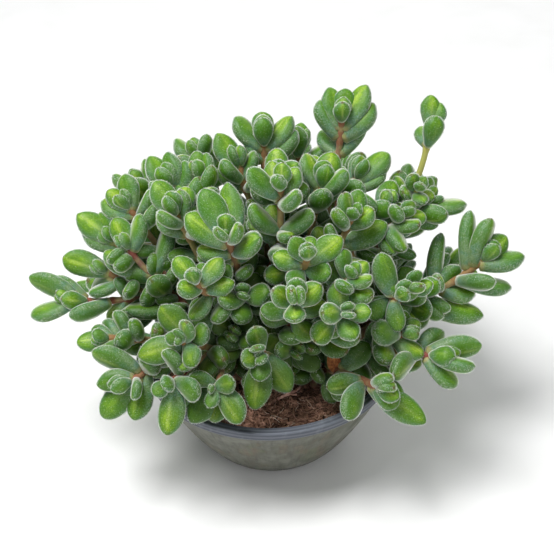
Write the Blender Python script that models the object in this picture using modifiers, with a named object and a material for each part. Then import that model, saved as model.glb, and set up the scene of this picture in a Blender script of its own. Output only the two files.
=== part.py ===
"""Potted crassula: a bushy, velvet-leaved succulent in a shallow plastic bowl pot.

The pot, its compost and every leafy stem are separate solids. A leafy stem is one solid: its
stem, its side shoots and the crossed pairs of plump leaves that grow from them. Sizes are in
millimetres in the tables and are turned to metres where a mesh is made. The origin is the
middle of the pot's flat base, +Z is up and -Y is the front.
"""
import math
import random

import bmesh
import bpy
import numpy
from mathutils import Vector
from mathutils.bvhtree import BVHTree

MM = 0.001

# Pot
POT_HEIGHT = 70.0
POT_RIM_RADIUS = 80.0
POT_BASE_RADIUS = 38.0
POT_WALL = 2.2
POT_LIP_WIDTH = 5.5
POT_LIP_DROP = 5.5
POT_LIP_EDGE = 0.8
POT_LIP_STEP = 2.0
POT_WALL_HEIGHTS = (5.0, 18.0, 38.0)
POT_WALL_CURVE = 0.72
POT_SIDES = 28
DRAIN_HOLE_RADIUS = 3.5
DRAIN_HOLE_CIRCLE = 22.0
DRAIN_HOLES = 4
HOLE_SIDES = 6

# Compost
SOIL_TOP = 62.0
SOIL_CROWN = 2.5
SOIL_SHOULDER_RADIUS = 45.0
SOIL_SHOULDER_SHARE = 0.6
SOIL_SIDE_GAP = 1.0
SOIL_SIDES = POT_SIDES
GAP = 0.3

# Stems
FOOT_DEPTH = 11.0
FOOT_SPREAD = 0.40
FOOT_LIMIT = 60.0
FOOT_SPACING = 11.0
FOOT_LEAN = 180.0
FOOT_ROUNDS = 200
FOOT_PUSH = 0.35
STEM_FOOT_RADIUS = 2.7
STEM_TIP_RADIUS = 1.7
STEM_SAMPLES = 25
STEM_STEP = 6
STEM_CLEARANCE = 1.4
STEM_CURVE = 0.36
STEM_ROUNDS = 60
STEM_PUSH = 0.25
STEM_FIXED_ENDS = 6.0
SIDE_SHOOT_SWELL = 0.3

# Leaves
LEAF_SIDES = 5
LEAF_RINGS = 2
LEAF_USUAL = 18.0
LEAF_BREADTH = 0.66
LEAF_BREADTH_LOSS = 0.0115
LEAF_THICKNESS = 0.48
LEAF_NECK = 0.40
LEAF_WIDEST = 0.56
LEAF_TIP_CURVE = 2.1
LEAF_EDGE_DEPTH = 0.35
LEAF_TOP_SHARE = 0.72
LEAF_RISE = 0.10
LEAF_ROOT = 1.3
LEAF_STATIONS = (0.0, 0.56, 0.88, 1.0)
SMALLEST_SOLID_LEAF = 18.5
BLADE_START = 0.2
RIM_CLEARANCE = 1.5
SOIL_CLEARANCE = 1.0
LEAF_SEED = 47
TURN_DRAW = 6.0
OPENING_DRAW = 5.0
LENGTH_DRAW = 0.06

# The photograph's upward direction, seen from the front and 36 degrees above. A leaf pair's turn
# is counted clockwise from it, looking at the growing tip from outside.
VIEW_UP = Vector((0.0, math.sin(math.radians(36)), math.cos(math.radians(36))))
VIEW_RIGHT = Vector((1.0, 0.0, 0.0))
VIEW_NEAR = VIEW_RIGHT.cross(VIEW_UP)

# Middle of the dome that the shoots make, and how high above the compost it sits
DOME_MIDDLE = Vector((0.0, 0.0, SOIL_TOP))

# Shoots that the photograph shows: the growing tip's place, the way it points as azimuth and
# elevation, and the leaf pairs that are half hidden, each with its distance below the tip, its
# turn, its leaf length and how far it opens from the stem. A pair that grew askew gives a turn or
# a length for each of its two leaves.
SHOOTS = {
    "crown": ((47, 46, 206), (60, 85), ((2, 20, 13, 20),)),
    "sprig": ((98, 33, 205), (70, 78), ()),
    "sprig_low": ((91, 20, 171), (330, 70),
        ((1, 45, 9, 25), (5, 350, 13, 42), (9, 80, 12, 62), (14, 345, 14, 70), (19, 90, 12, 75))),
    "top_centre": ((0, 46, 194), (90, 80), ((1, 0, 13, 20),)),
    "top_front": ((7, 8, 186), (270, 80),
        ((1, 10, 14, 20), (10, (215, 40), 24, 28), (19, (95, 275), 22, 48))),
    "upright": ((9, -18, 200), (280, 84), ((2, 20, 12, 30),)),
    "trio": ((22, -46, 170), (285, 75), ((1, 0, 11, 10),)),
    "rosette": ((15, -62, 153), (276, 55),
        ((1, 275, 13, 16), (5, (0, 185), 16, 55), (9, (295, 60), 18, 52), (20, (275, 85), 18, 80),
         (30, (330, 150), 19, 80))),
    "right_small": ((42, -62, 143), (302, 48),
        ((1, 5, 9, 22), (4, (95, 275), 16, 60), (8, (0, 170), 18, 68), (15, (60, 235), 19, 80))),
    "low_centre": ((-6, -64, 118), (262, 35), ((1, (160, 340), 10, 30),)),
    "low_left": ((-33, -72, 100), (245, 30), ()),
    "left_mid": ((-50, -58, 123), (228, 40), ((1, (20, 300), 10, 30),)),
    "left_stem": ((-83, 4, 146), (165, 60), ((1, 60, 10, 20),)),
    "left_high": ((-52, -2, 174), (190, 72),
        ((1, 10, 13, 20), (9, (20, 200), 20, 36), (18, (285, 100), 20, 62))),
    "left_inner": ((-22, -32, 176), (240, 70), ((1, 40, 13, 25), (24, (55, 235), 20, 60))),
    "shoulder": ((-55, 22, 177), (150, 65), ((1, 0, 14, 18), (14, (290, 100), 21, 55))),
    "shoulder_right": ((-39, 26, 179), (140, 70), ((1, 60, 12, 18), (9, (60, 240), 19, 40))),
    "top_left": ((-15, 34, 183), (110, 75),
        ((1, 60, 12, 20), (10, (40, 220), 18, 42), (16, (300, 110), 20, 60))),
    "left_bright": ((-82, 20, 165), (160, 60), ((1, 0, 11, 20), (15, 280, 19, 68))),
    "left_pair": ((-93, 14, 145), (172, 45), ((1, 60, 10, 20), (15, 320, 20, 66))),
    "left_long": ((-99, 8, 127), (180, 35),
        ((1, 50, 10, 20), (12, (340, 190), 20, 56), (20, 290, 21, 72))),
    "left_tip": ((-120, -1, 114), (185, 25), ((1, 60, 10, 20),)),
    "left_low": ((-97, -31, 106), (200, 20),
        ((1, 50, 9, 20), (14, (310, 100), 17, 60), (20, (280, 60), 18, 70))),
    "low_corner": ((-83, -55, 93), (205, 5), ((1, 300, 12, 20), (20, (70, 250), 20, 80))),
    "low_side": ((-58, -67, 101), (235, 15), ((1, 60, 12, 30), (9, (165, 340), 20, 85))),
    "mid_trio": ((-40, -46, 156), (230, 75), ((1, 0, 11, 12), (18, 20, 18, 75))),
    "right_cluster": ((49, -14, 174), (330, 70), ((1, 60, 10, 20), (8, (265, 80), 17, 42))),
    "top_right": ((33, 12, 181), (20, 78),
        ((1, 0, 14, 18), (9, (315, 135), 24, 30), (16, (50, 230), 25, 42))),
    "right_back": ((55, 30, 174), (30, 70), ((1, 0, 12, 20), (15, (70, 250), 22, 62))),
    "right_high": ((70, 12, 165), (5, 65), ((1, 80, 10, 20), (9, 90, 17, 58), (15, 350, 18, 66))),
    "right_pale": ((80, 4, 163), (350, 50), ((1, 30, 10, 20), (4, 100, 15, 56), (15, 80, 20, 75))),
    "right_long": ((96, 24, 158), (15, 35), ((1, 0, 11, 20), (14, 0, 18, 70))),
    "right_arm": ((130, 0, 133), (10, 50), ((2, 60, 13, 20),)),
    "right_bud": ((82, -34, 138), (320, 60), ((1, 0, 12, 30), (6, 90, 14, 60))),
    "right_round": ((74, -39, 136), (325, 40), ((1, 60, 12, 22), (10, 60, 18, 75))),
    "right_inner": ((46, -45, 156), (316, 60),
        ((1, 60, 10, 20), (4, 330, 16, 50), (9, 60, 17, 60), (15, 150, 22, 60))),
    "low_right": ((96, -52, 101), (338, 10), ((1, 100, 13, 18),)),
    "low_inner": ((78, -44, 112), (335, 25),
        ((1, 40, 9, 20), (9, (330, 150), 20, 65), (15, (40, 220), 22, 70))),
    "low_pale": ((60, -74, 98), (305, 15), ((1, (330, 120), 13, 30),)),
    "front_inner": ((14, -46, 103), (286, 50),
        ((1, 30, 10, 20), (4, 300, 18, 55), (9, 30, 18, 70), (15, 120, 19, 85))),
    "inner_left": ((-20, -40, 112), (250, 50),
        ((1, 30, 10, 20), (4, 300, 17, 55), (9, 30, 17, 70), (15, 120, 18, 85))),
    "inner_mid": ((-14, -36, 138), (260, 55),
        ((1, 0, 10, 20), (4, 280, 19, 55), (9, 10, 17, 70), (16, 95, 18, 80))),
}

# Leaves that the photograph shows plainly, by shoot: how far below the growing tip each grows, how
# far right of and above its root its tip shows, its length, and 1 where it comes towards the
# viewer, -1 where it goes away and 0 where it lies square to the view.
SHOWN_LEAVES = {
    "crown": (
        (9, -7, 27, 26, 0), (9, 17, 27, 30, 0), (9, 3, 26, 24, 0), (14, -12, 23, 25, 0),
        (14, 21, 19, 28, 0), (25, 18, 21, 26, 0), (25, -9, 16, 20, -1),
    ),
    "sprig": (
        (1, 2, 19, 18, 0), (1, 8, 15, 15, -1), (12, 5, 16, 20, 1), (12, 0, 13, 17, -1),
    ),
    "top_centre": (
        (4, 0, 19, 18, 0), (4, 0, 14, 17, 1), (9, -17, 22, 26, 0), (9, 17, 21, 26, 0),
        (16, 20, 18, 26, 0), (16, -10, 18, 19, 0),
    ),
    "top_front": (
        (5, 1, 24, 22, 0), (5, -8, 4, 18, 1),
    ),
    "upright": (
        (9, -18, 16, 24, 1), (9, 11, 16, 18, 0), (14, -2, 26, 24, -1), (14, 11, 4, 20, 1),
        (34, -18, 13, 26, 1), (34, 18, 10, 27, 1),
    ),
    "trio": (
        (4, -7, 14, 15, 1), (4, 4, 14, 14, -1), (8, 16, 21, 24, 0), (8, -18, 6, 17, 0),
        (14, 16, -3, 17, 1), (14, -6, -9, 16, 1),
    ),
    "low_centre": (
        (3, -10, -4, 14, 1), (3, 0, -16, 15, 1), (8, -4, -33, 31, 0), (8, -4, 15, 18, 1),
        (14, 16, -23, 26, 0),
    ),
    "low_left": (
        (2, 12, 3, 14, 1), (2, -3, -11, 11, 1), (5, -15, 7, 16, 1), (5, 15, -20, 25, 1),
        (12, -16, -24, 28, 0), (12, -2, -25, 23, 0),
    ),
    "left_mid": (
        (4, 2, 12, 16, 1), (4, 6, -13, 16, 1), (8, -30, -4, 29, 0), (8, 10, 8, 16, 1),
        (13, -19, 24, 28, 0), (13, -6, -15, 18, 1), (19, 1, 28, 26, 0),
    ),
    "left_stem": (
        (4, -10, 21, 22, 0), (4, 4, 25, 23, 0), (24, -29, 14, 31, 0), (24, 9, 34, 34, 0),
        (50, -36, 2, 35, 0), (50, -4, 9, 20, -1),
    ),
    "left_high": (
        (4, -14, 21, 24, 0), (4, 5, 19, 20, -1),
    ),
    "left_inner": (
        (5, -13, 31, 32, 0), (5, 7, 8, 16, 1), (9, 1, 36, 35, 0), (9, -25, 17, 29, 0),
        (16, 15, 9, 24, 1), (16, -21, 3, 19, 0),
    ),
    "shoulder": (
        (4, -16, 21, 25, 0), (4, -3, 24, 23, 0), (8, 4, 23, 21, 0), (8, -10, 10, 20, 1),
    ),
    "shoulder_right": (
        (4, -6, 20, 19, 0), (4, 5, 19, 18, 0), (15, 1, 5, 22, 1), (15, -11, 7, 20, 1),
    ),
    "top_left": (
        (5, -13, 25, 26, 0), (5, 8, 14, 18, -1),
    ),
    "left_bright": (
        (4, -5, 23, 22, 0), (4, -14, 14, 18, 0), (9, -20, 13, 23, 0), (9, 5, 9, 20, 1),
    ),
    "left_pair": (
        (4, -23, 20, 29, 0), (4, -10, 20, 21, 0), (9, -26, 13, 28, 0), (9, -8, -7, 18, 1),
    ),
    "left_long": (
        (5, -28, 14, 30, 0), (5, -13, -8, 22, -1),
    ),
    "left_tip": (
        (4, -28, 16, 31, 0), (4, -29, -9, 29, 0), (9, -21, 18, 26, 0), (9, -14, 1, 16, 1),
        (24, -24, -9, 26, 1),
    ),
    "left_low": (
        (4, -21, -2, 20, 0), (4, -14, 5, 15, -1), (8, -12, -7, 14, 1), (8, -11, 10, 17, -1),
    ),
    "low_corner": (
        (4, -22, -1, 21, 0), (4, 1, -10, 14, 1), (9, -35, -8, 34, 0), (9, -29, 14, 30, 0),
        (14, -21, -22, 29, 0), (14, 2, 7, 20, 1),
    ),
    "low_side": (
        (4, -4, -31, 30, 0), (4, 11, 7, 20, 1),
    ),
    "mid_trio": (
        (4, -12, 17, 19, 0), (4, 14, 15, 19, 0), (8, 1, 15, 14, -1), (8, -12, 2, 15, 1),
        (12, 17, 6, 17, 1),
    ),
    "right_cluster": (
        (4, -2, 17, 18, 1), (4, 8, 19, 18, 0), (24, 29, 12, 30, 0), (24, -5, 12, 18, 1),
    ),
    "top_right": (
        (4, 8, 22, 22, 0), (4, -8, 22, 22, 0),
    ),
    "right_back": (
        (4, 21, 18, 26, 0), (4, 5, 17, 18, -1), (9, 22, 10, 22, 0), (9, -6, 14, 14, 0),
    ),
    "right_high": (
        (4, 4, 20, 20, -1), (4, -10, 8, 18, 1),
    ),
    "right_pale": (
        (9, 3, -17, 22, 1), (9, 15, -2, 18, 1),
    ),
    "right_long": (
        (4, 29, 2, 27, 0), (4, 7, 18, 18, -1), (8, 17, -2, 22, 1), (8, -5, 14, 18, -1),
    ),
    "right_arm": (
        (6, 18, 16, 23, 0), (6, 28, 3, 27, 0), (10, 20, 26, 31, 0), (10, 5, 17, 16, 0),
        (14, 4, 37, 36, 0), (14, 4, -8, 20, -1), (22, 20, -1, 27, 1), (22, 34, -6, 33, -1),
        (38, 7, 36, 35, 0), (38, 17, 15, 21, 0), (52, 15, -9, 22, 1), (52, 43, -8, 42, 0),
    ),
    "right_round": (
        (4, -9, 25, 27, 1), (4, 1, -19, 18, 0),
    ),
    "low_right": (
        (3, 11, 0, 15, 1), (3, 24, -7, 25, 1), (7, 33, 6, 32, 0), (7, 18, -19, 25, 0),
        (12, -17, -9, 25, 1), (12, 17, 13, 22, -1),
    ),
    "low_inner": (
        (4, -16, 4, 22, 1), (4, 13, 7, 13, 0),
    ),
    "low_pale": (
        (4, 9, 5, 16, 1), (4, 14, -12, 17, 0), (9, 31, -25, 39, 0), (9, 21, -11, 22, 0),
        (13, -11, -21, 27, 1), (13, -21, -3, 20, 1),
    ),
}

# Side shoots, the stem that each grows from, and how far up that stem it forks
SIDE_SHOOTS = {
    "sprig_low": ("sprig", 0.72),
    "top_front": ("top_centre", 0.45),
    "top_left": ("top_centre", 0.40),
    "trio": ("upright", 0.40),
    "front_inner": ("rosette", 0.35),
    "right_inner": ("right_small", 0.45),
    "low_left": ("left_mid", 0.30),
    "low_side": ("left_mid", 0.40),
    "mid_trio": ("left_inner", 0.40),
    "shoulder_right": ("shoulder", 0.45),
    "left_pair": ("left_stem", 0.50),
    "left_tip": ("left_long", 0.45),
    "low_corner": ("left_low", 0.40),
    "right_back": ("top_right", 0.45),
    "right_pale": ("right_high", 0.45),
    "right_bud": ("right_arm", 0.50),
    "right_round": ("right_arm", 0.40),
    "low_inner": ("low_right", 0.45),
    "inner_mid": ("inner_left", 0.45),
    "far_1": ("far_8", 0.35),
    "far_3": ("far_9", 0.35),
    "far_4": ("far_10", 0.35),
    "far_5": ("far_11", 0.35),
    "far_7": ("far_12", 0.35),
}

# Shoots of the far side, which the photograph hides: azimuth, elevation and reach from the middle
# of the dome, and the length of the grown leaves
FAR_SHOOTS = {
    "far_1": (22, 12, 132, 24),
    "far_2": (44, 17, 134, 26),
    "far_3": (66, 13, 128, 22),
    "far_4": (88, 17, 134, 25),
    "far_5": (110, 13, 130, 23),
    "far_6": (132, 17, 134, 26),
    "far_7": (154, 12, 126, 22),
    "far_8": (34, 36, 138, 24),
    "far_9": (58, 38, 130, 25),
    "far_10": (84, 37, 140, 27),
    "far_11": (110, 37, 132, 24),
    "far_12": (136, 36, 138, 26),
    "far_13": (72, 58, 132, 25),
    "far_14": (124, 56, 134, 24),
}
FAR_PAIRS = ((1, 0, 0.5, 20), (5, 90, 0.85, 40), (11, 0, 1.0, 58), (19, 90, 0.9, 74))

# Changes that a leaf tries when it would touch another, mildest first
OPENING_CHANGES = (0, 7, -7, 14, -14, 22, -22, 32)
TURN_CHANGES = (0, 9, -9, 18, -18, 30, -30, 44, -44)
LENGTH_CHANGES = (1.0, 0.92, 0.84, 0.72, 0.6)

LEAF_COLOUR = (0.16, 0.30, 0.12, 1.0)
POT_COLOUR = (0.20, 0.21, 0.22, 1.0)
SOIL_COLOUR = (0.12, 0.07, 0.05, 1.0)
LEAF_ROUGHNESS = 0.6
POT_ROUGHNESS = 0.45
SOIL_ROUGHNESS = 0.95


def direction(azimuth, elevation):
    """Unit vector from an azimuth and an elevation in degrees."""
    a, e = math.radians(azimuth), math.radians(elevation)
    return Vector((math.cos(e) * math.cos(a), math.cos(e) * math.sin(a), math.sin(e)))


def all_shoots():
    """Every shoot by name, as its tip, its aim and its leaf pairs."""
    shoots = {}
    for name, (tip, aim, pairs) in SHOOTS.items():
        shoots[name] = (Vector(tip), direction(*aim), pairs)
    for number, (name, (azimuth, elevation, reach, leaf)) in enumerate(FAR_SHOOTS.items()):
        tip = DOME_MIDDLE + direction(azimuth, elevation) * reach
        aim = direction(azimuth, 0.6 * elevation + 30)
        turn = 45 + 37 * number
        pairs = tuple((drop, turn + step, leaf * share, opening) for drop, step, share, opening in FAR_PAIRS)
        shoots[name] = (tip, aim, pairs)
    return shoots


def bend(start, start_aim, end, end_aim):
    """Points of a stem that leaves start along start_aim and reaches end along end_aim."""
    span = (end - start).length
    first = start + start_aim * span * STEM_CURVE
    last = end - end_aim * span * STEM_CURVE
    points = []
    for index in range(STEM_SAMPLES):
        t = index / (STEM_SAMPLES - 1)
        s = 1 - t
        points.append(start * s**3 + first * 3 * s * s * t + last * 3 * s * t * t + end * t**3)
    return points


def stem_feet(shoots):
    """Where each main stem enters the compost, spread so that no two are close."""
    names = [name for name in shoots if name not in SIDE_SHOOTS]
    feet = numpy.array([(shoots[n][0].x, shoots[n][0].y) for n in names]) * FOOT_SPREAD
    for _ in range(FOOT_ROUNDS):
        for i in range(len(feet)):
            away = feet[i] - feet
            gaps = numpy.hypot(away[:, 0], away[:, 1])
            gaps[i] = FOOT_SPACING
            near = gaps < FOOT_SPACING
            push = away[near] / numpy.maximum(gaps[near], 0.1)[:, None]
            feet[i] += (push * (FOOT_SPACING - gaps[near])[:, None]).sum(axis=0) * FOOT_PUSH
            out = numpy.hypot(*feet[i])
            if out > FOOT_LIMIT:
                feet[i] *= FOOT_LIMIT / out
    return {name: Vector((foot[0], foot[1], SOIL_TOP + SOIL_CROWN)) for name, foot in zip(names, feet)}


def stem_paths(shoots):
    """The line of each stem and side shoot, bent clear of the other plants' stems."""
    feet = stem_feet(shoots)
    paths = {}
    for name, foot in feet.items():
        tip, aim, _ = shoots[name]
        lean = Vector((foot.x, foot.y, 0)) / FOOT_LEAN
        paths[name] = bend(foot, (Vector((0, 0, 1)) + lean).normalized(), tip, aim)
    for name, (parent, fork) in SIDE_SHOOTS.items():
        tip, aim, _ = shoots[name]
        index = round(fork * (STEM_SAMPLES - 1))
        along = (paths[parent][index + 1] - paths[parent][index - 1]).normalized()
        paths[name] = bend(paths[parent][index], along, tip, aim)
    names = list(paths)
    line = numpy.array([[tuple(p) for p in paths[n]] for n in names])
    owner = numpy.array([names.index(SIDE_SHOOTS.get(n, (n,))[0]) for n in names])
    least = 2 * STEM_FOOT_RADIUS + STEM_CLEARANCE
    order = numpy.arange(STEM_SAMPLES)
    ease = numpy.clip(numpy.minimum(order, order[::-1]) / STEM_FIXED_ENDS, 0, 1)[:, None]
    for _ in range(STEM_ROUNDS):
        moved = line.copy()
        for i in range(len(names)):
            others = line[owner != owner[i]].reshape(-1, 3)
            away = line[i][:, None, :] - others[None, :, :]
            gaps = numpy.linalg.norm(away, axis=2)
            short = numpy.clip(least - gaps, 0, None) / numpy.maximum(gaps, 0.1)
            moved[i] += ease * (away * short[:, :, None]).sum(axis=1) * STEM_PUSH
        line = moved
    for i, name in enumerate(names):
        if name in SIDE_SHOOTS:
            parent, fork = SIDE_SHOOTS[name]
            shift = line[names.index(parent)][round(fork * (STEM_SAMPLES - 1))] - line[i][0]
            line[i] += shift * numpy.linspace(1, 0, STEM_SAMPLES)[:, None] ** 2
    return {name: [Vector(p) for p in line[i]] for i, name in enumerate(names)}


def point_below_tip(path, drop):
    """The point that lies drop millimetres below the tip along a stem, and the stem's way there."""
    for upper in range(len(path) - 1, 0, -1):
        piece = path[upper] - path[upper - 1]
        if drop <= piece.length or upper == 1:
            return path[upper] - piece.normalized() * drop, piece.normalized()
        drop -= piece.length


def leaf_half_width(t):
    """Half of a leaf's width at t of its length, as a share of its greatest half width."""
    t = min(max(t, 0.0), 1.0)
    if t < LEAF_WIDEST:
        s = t / LEAF_WIDEST
        return LEAF_NECK + (1 - LEAF_NECK) * s * s * (3 - 2 * s)
    return math.sqrt(max(0.0, 1 - ((t - LEAF_WIDEST) / (1 - LEAF_WIDEST)) ** LEAF_TIP_CURVE))


def leaf_breadth(length):
    """Greatest width of a leaf: a long leaf is the slimmer one."""
    return length * (LEAF_BREADTH - LEAF_BREADTH_LOSS * (length - LEAF_USUAL))


def leaf_template():
    """A small ball's points as share of the length and angle round it, and its faces."""
    ball = bmesh.new()
    bmesh.ops.create_uvsphere(ball, u_segments=LEAF_SIDES, v_segments=LEAF_RINGS + 1, radius=1.0)
    bmesh.ops.triangulate(ball, faces=ball.faces)
    points = []
    for vertex in ball.verts:
        place = vertex.co
        points.append((math.acos(max(-1.0, min(1.0, place.z))) / math.pi, math.atan2(place.y, place.x)))
    faces = [tuple(v.index for v in face.verts) for face in ball.faces]
    ball.free()
    return points, faces


def leaf_points(leaf, template, grow=0.0):
    """A leaf's points in millimetres, swollen by grow all round."""
    length = leaf["length"] + 2 * grow
    half_width = leaf_breadth(leaf["length"]) / 2 + grow
    half_depth = leaf_breadth(leaf["length"]) * LEAF_THICKNESS / 2 + grow
    corner = math.cos(math.pi / (2 * LEAF_SIDES))
    points = []
    for share, angle in template:
        t = LEAF_STATIONS[round(share * (LEAF_RINGS + 1))]
        inside = 0.0 < t < 1.0
        width = half_width * leaf_half_width(t) if inside else 0.0
        fullness = LEAF_EDGE_DEPTH + (1 - LEAF_EDGE_DEPTH) * leaf_half_width(t)
        depth = half_depth * fullness if inside else 0.0
        turn = angle - math.pi / 2
        side = width * math.cos(turn) / corner
        lift = depth * math.sin(turn) * (LEAF_TOP_SHARE if math.sin(turn) > 0 else 1.0)
        rise = LEAF_RISE * length * t * t
        along = length * t if t > 0 else -LEAF_ROOT
        points.append(leaf["root"] + leaf["way"] * along + leaf["side"] * side + leaf["up"] * (lift + rise))
    return points


def make_leaf(path, aim_drop, turn, length, opening):
    """A leaf's frame: its root on the stem's middle line, its way out, its side and its upper face."""
    root, way_up = point_below_tip(path, aim_drop)
    over = (VIEW_UP - way_up * VIEW_UP.dot(way_up)).normalized()
    across = over.cross(way_up)
    angle, tilt = math.radians(turn), math.radians(opening)
    outward = over * math.cos(angle) + across * math.sin(angle)
    way = (way_up * math.cos(tilt) + outward * math.sin(tilt)).normalized()
    face = (way_up * math.sin(tilt) - outward * math.cos(tilt)).normalized()
    leaf = {"root": root, "way": way, "up": face, "side": way.cross(face)}
    leaf["length"] = length + STEM_TIP_RADIUS
    return leaf


def tree_of(points, faces):
    """A search tree over a closed mesh."""
    return BVHTree.FromPolygons([tuple(p) for p in points], faces)


def stem_solid_points(path, start, end):
    """Rough tube round a stem for the clearance test."""
    points, faces, sides = [], [], 6
    for index, point in enumerate(path):
        ahead = path[min(index + 1, len(path) - 1)] - path[max(index - 1, 0)]
        side = ahead.cross(Vector((0.3, 0.2, 1))).normalized()
        other = ahead.normalized().cross(side)
        radius = start + (end - start) * index / (len(path) - 1)
        for k in range(sides):
            angle = 2 * math.pi * k / sides
            points.append(point + side * math.cos(angle) * radius + other * math.sin(angle) * radius)
    for index in range(len(path) - 1):
        for k in range(sides):
            a, b = index * sides + k, index * sides + (k + 1) % sides
            faces.append((a, b, b + sides, a + sides))
    return points, faces


def box_of(points):
    """Lowest and highest corner of some points."""
    array = numpy.array([tuple(p) for p in points])
    return array.min(axis=0), array.max(axis=0)


def turn_and_opening(way_up, reach):
    """The turn and the opening of a leaf that reaches along a line, on a stem that grows along way_up."""
    over = (VIEW_UP - way_up * VIEW_UP.dot(way_up)).normalized()
    across = over.cross(way_up)
    way = reach.normalized()
    turn = math.degrees(math.atan2(way.dot(across), way.dot(over)))
    opening = math.degrees(math.acos(max(-1.0, min(1.0, way.dot(way_up)))))
    return turn, opening + math.degrees(math.atan(LEAF_RISE))


def shown_wishes(name, path):
    """The shown leaves of a shoot: drop, turn, length and opening of each."""
    wishes = []
    for drop, right, above, length, nearer in SHOWN_LEAVES.get(name, ()):
        _, way_up = point_below_tip(path, drop)
        depth = math.sqrt(max(0.0, (length + STEM_TIP_RADIUS) ** 2 - right * right - above * above))
        reach = VIEW_RIGHT * right + VIEW_UP * above + VIEW_NEAR * depth * nearer
        turn, opening = turn_and_opening(way_up, reach)
        wishes.append((drop, turn, length, opening))
    return wishes


def pair_wishes(pairs, draw):
    """The leaves of a shoot's pairs: drop, turn, length and opening of each, a little uneven."""
    wishes = []
    for drop, turn, length, opening in pairs:
        turns = turn if isinstance(turn, tuple) else (turn, turn + 180)
        lengths = length if isinstance(length, tuple) else (length, length)
        for half in (0, 1):
            uneven = draw.uniform(-TURN_DRAW, TURN_DRAW), draw.uniform(-OPENING_DRAW, OPENING_DRAW)
            longer = draw.uniform(1 - LENGTH_DRAW, 1 + LENGTH_DRAW)
            wishes.append((drop, turns[half] + uneven[0], lengths[half] * longer, opening + uneven[1]))
    return wishes


def lay_out_leaves(shoots, paths):
    """Every leaf, turned, opened or shortened where it would touch another stem's parts."""
    template, faces = leaf_template()
    blade_faces = [f for f in faces if min(template[i][0] for i in f) > BLADE_START]
    placed = []
    for name, path in paths.items():
        points, tube_faces = stem_solid_points(path, STEM_FOOT_RADIUS + GAP, STEM_TIP_RADIUS + GAP)
        plant = SIDE_SHOOTS.get(name, (name,))[0]
        placed.append((plant, None, box_of(points), tree_of(points, tube_faces), None))
    draw = random.Random(LEAF_SEED)
    wishes = [(name, wish) for name in shoots for wish in shown_wishes(name, paths[name])]
    for name, (_, _, pairs) in shoots.items():
        wishes += [(name, wish) for wish in pair_wishes(pairs, draw)]
    leaves, dropped = [], []
    for name, (drop, turn, length, opening) in wishes:
        plant = SIDE_SHOOTS.get(name, (name,))[0]
        leaf = fit_leaf(placed, plant, (name, drop), paths[name], drop,
                        (turn, length, opening), template, faces, blade_faces)
        if leaf is None:
            dropped.append((name, drop))
        else:
            leaf["shoot"], leaf["plant"], leaf["level"] = name, plant, drop
            leaves.append(leaf)
    return leaves, dropped


def fit_leaf(placed, plant, pair, path, drop, wish, template, faces, blade_faces):
    """The leaf nearest to the wished one that is clear of all that is placed, or None."""
    turn, length, opening = wish
    for shorter in LENGTH_CHANGES:
        for open_change in OPENING_CHANGES:
            for turn_change in TURN_CHANGES:
                leaf = make_leaf(path, drop, turn + turn_change, length * shorter, opening + open_change)
                points = leaf_points(leaf, template, GAP * 0.6)
                low, high = box_of(points)
                if low[2] < POT_HEIGHT + SOIL_CLEARANCE and not over_rim(points):
                    continue
                whole = tree_of(points, faces)
                blade = tree_of(points, blade_faces)
                if is_clear(placed, plant, pair, low, high, whole, blade):
                    placed.append((plant, pair, (low, high), whole, blade))
                    return leaf
    return None


def over_rim(points):
    """True where no point dips into the compost or the pot's rim."""
    for point in points:
        out = math.hypot(point.x, point.y)
        if out < POT_RIM_RADIUS + RIM_CLEARANCE and point.z < SOIL_TOP + SOIL_CROWN + SOIL_CLEARANCE:
            return False
        over_lip = POT_RIM_RADIUS - POT_LIP_WIDTH - RIM_CLEARANCE < out < POT_RIM_RADIUS + RIM_CLEARANCE
        if over_lip and point.z < POT_HEIGHT + SOIL_CLEARANCE:
            return False
    return True


def is_clear(placed, plant, pair, low, high, whole, blade):
    """True where a leaf touches no other plant, and no blade of its own plant."""
    for other_plant, other_pair, (other_low, other_high), other_whole, other_blade in placed:
        if (other_low > high).any() or (other_high < low).any():
            continue
        if other_plant != plant:
            if whole.overlap(other_whole):
                return False
        elif other_pair is not None and other_pair != pair:
            if blade.overlap(other_blade):
                return False
    return True


def material(name, colour, roughness):
    """A plain material with the part's own colour."""
    made = bpy.data.materials.new(name)
    made.use_nodes = True
    shader = made.node_tree.nodes["Principled BSDF"]
    shader.inputs["Base Color"].default_value = colour
    shader.inputs["Roughness"].default_value = roughness
    shader.inputs["Metallic"].default_value = 0.0
    return made


def new_object(name, data, collection):
    """Wrap a mesh or curve in an object and link it."""
    made = bpy.data.objects.new(name, data)
    collection.objects.link(made)
    return made


def turned(name, profile, sides, collection):
    """A turned solid: a profile in the XZ plane with a Screw modifier."""
    mesh = bpy.data.meshes.new(name)
    points = [(x * MM, 0.0, z * MM) for x, z in profile]
    mesh.from_pydata(points, [(i, i + 1) for i in range(len(points) - 1)], [])
    made = new_object(name, mesh, collection)
    screw = made.modifiers.new("turn", 'SCREW')
    screw.steps = screw.render_steps = sides
    screw.use_merge_vertices = True
    screw.merge_threshold = 0.00001
    screw.use_smooth_shade = True
    return made


def pot_outer(z):
    """Radius of the bowl's outer wall below its lip, at a height."""
    share = z / (POT_HEIGHT - POT_LIP_DROP)
    return POT_BASE_RADIUS + (POT_RIM_RADIUS - POT_LIP_STEP - POT_BASE_RADIUS) * share ** POT_WALL_CURVE


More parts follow.
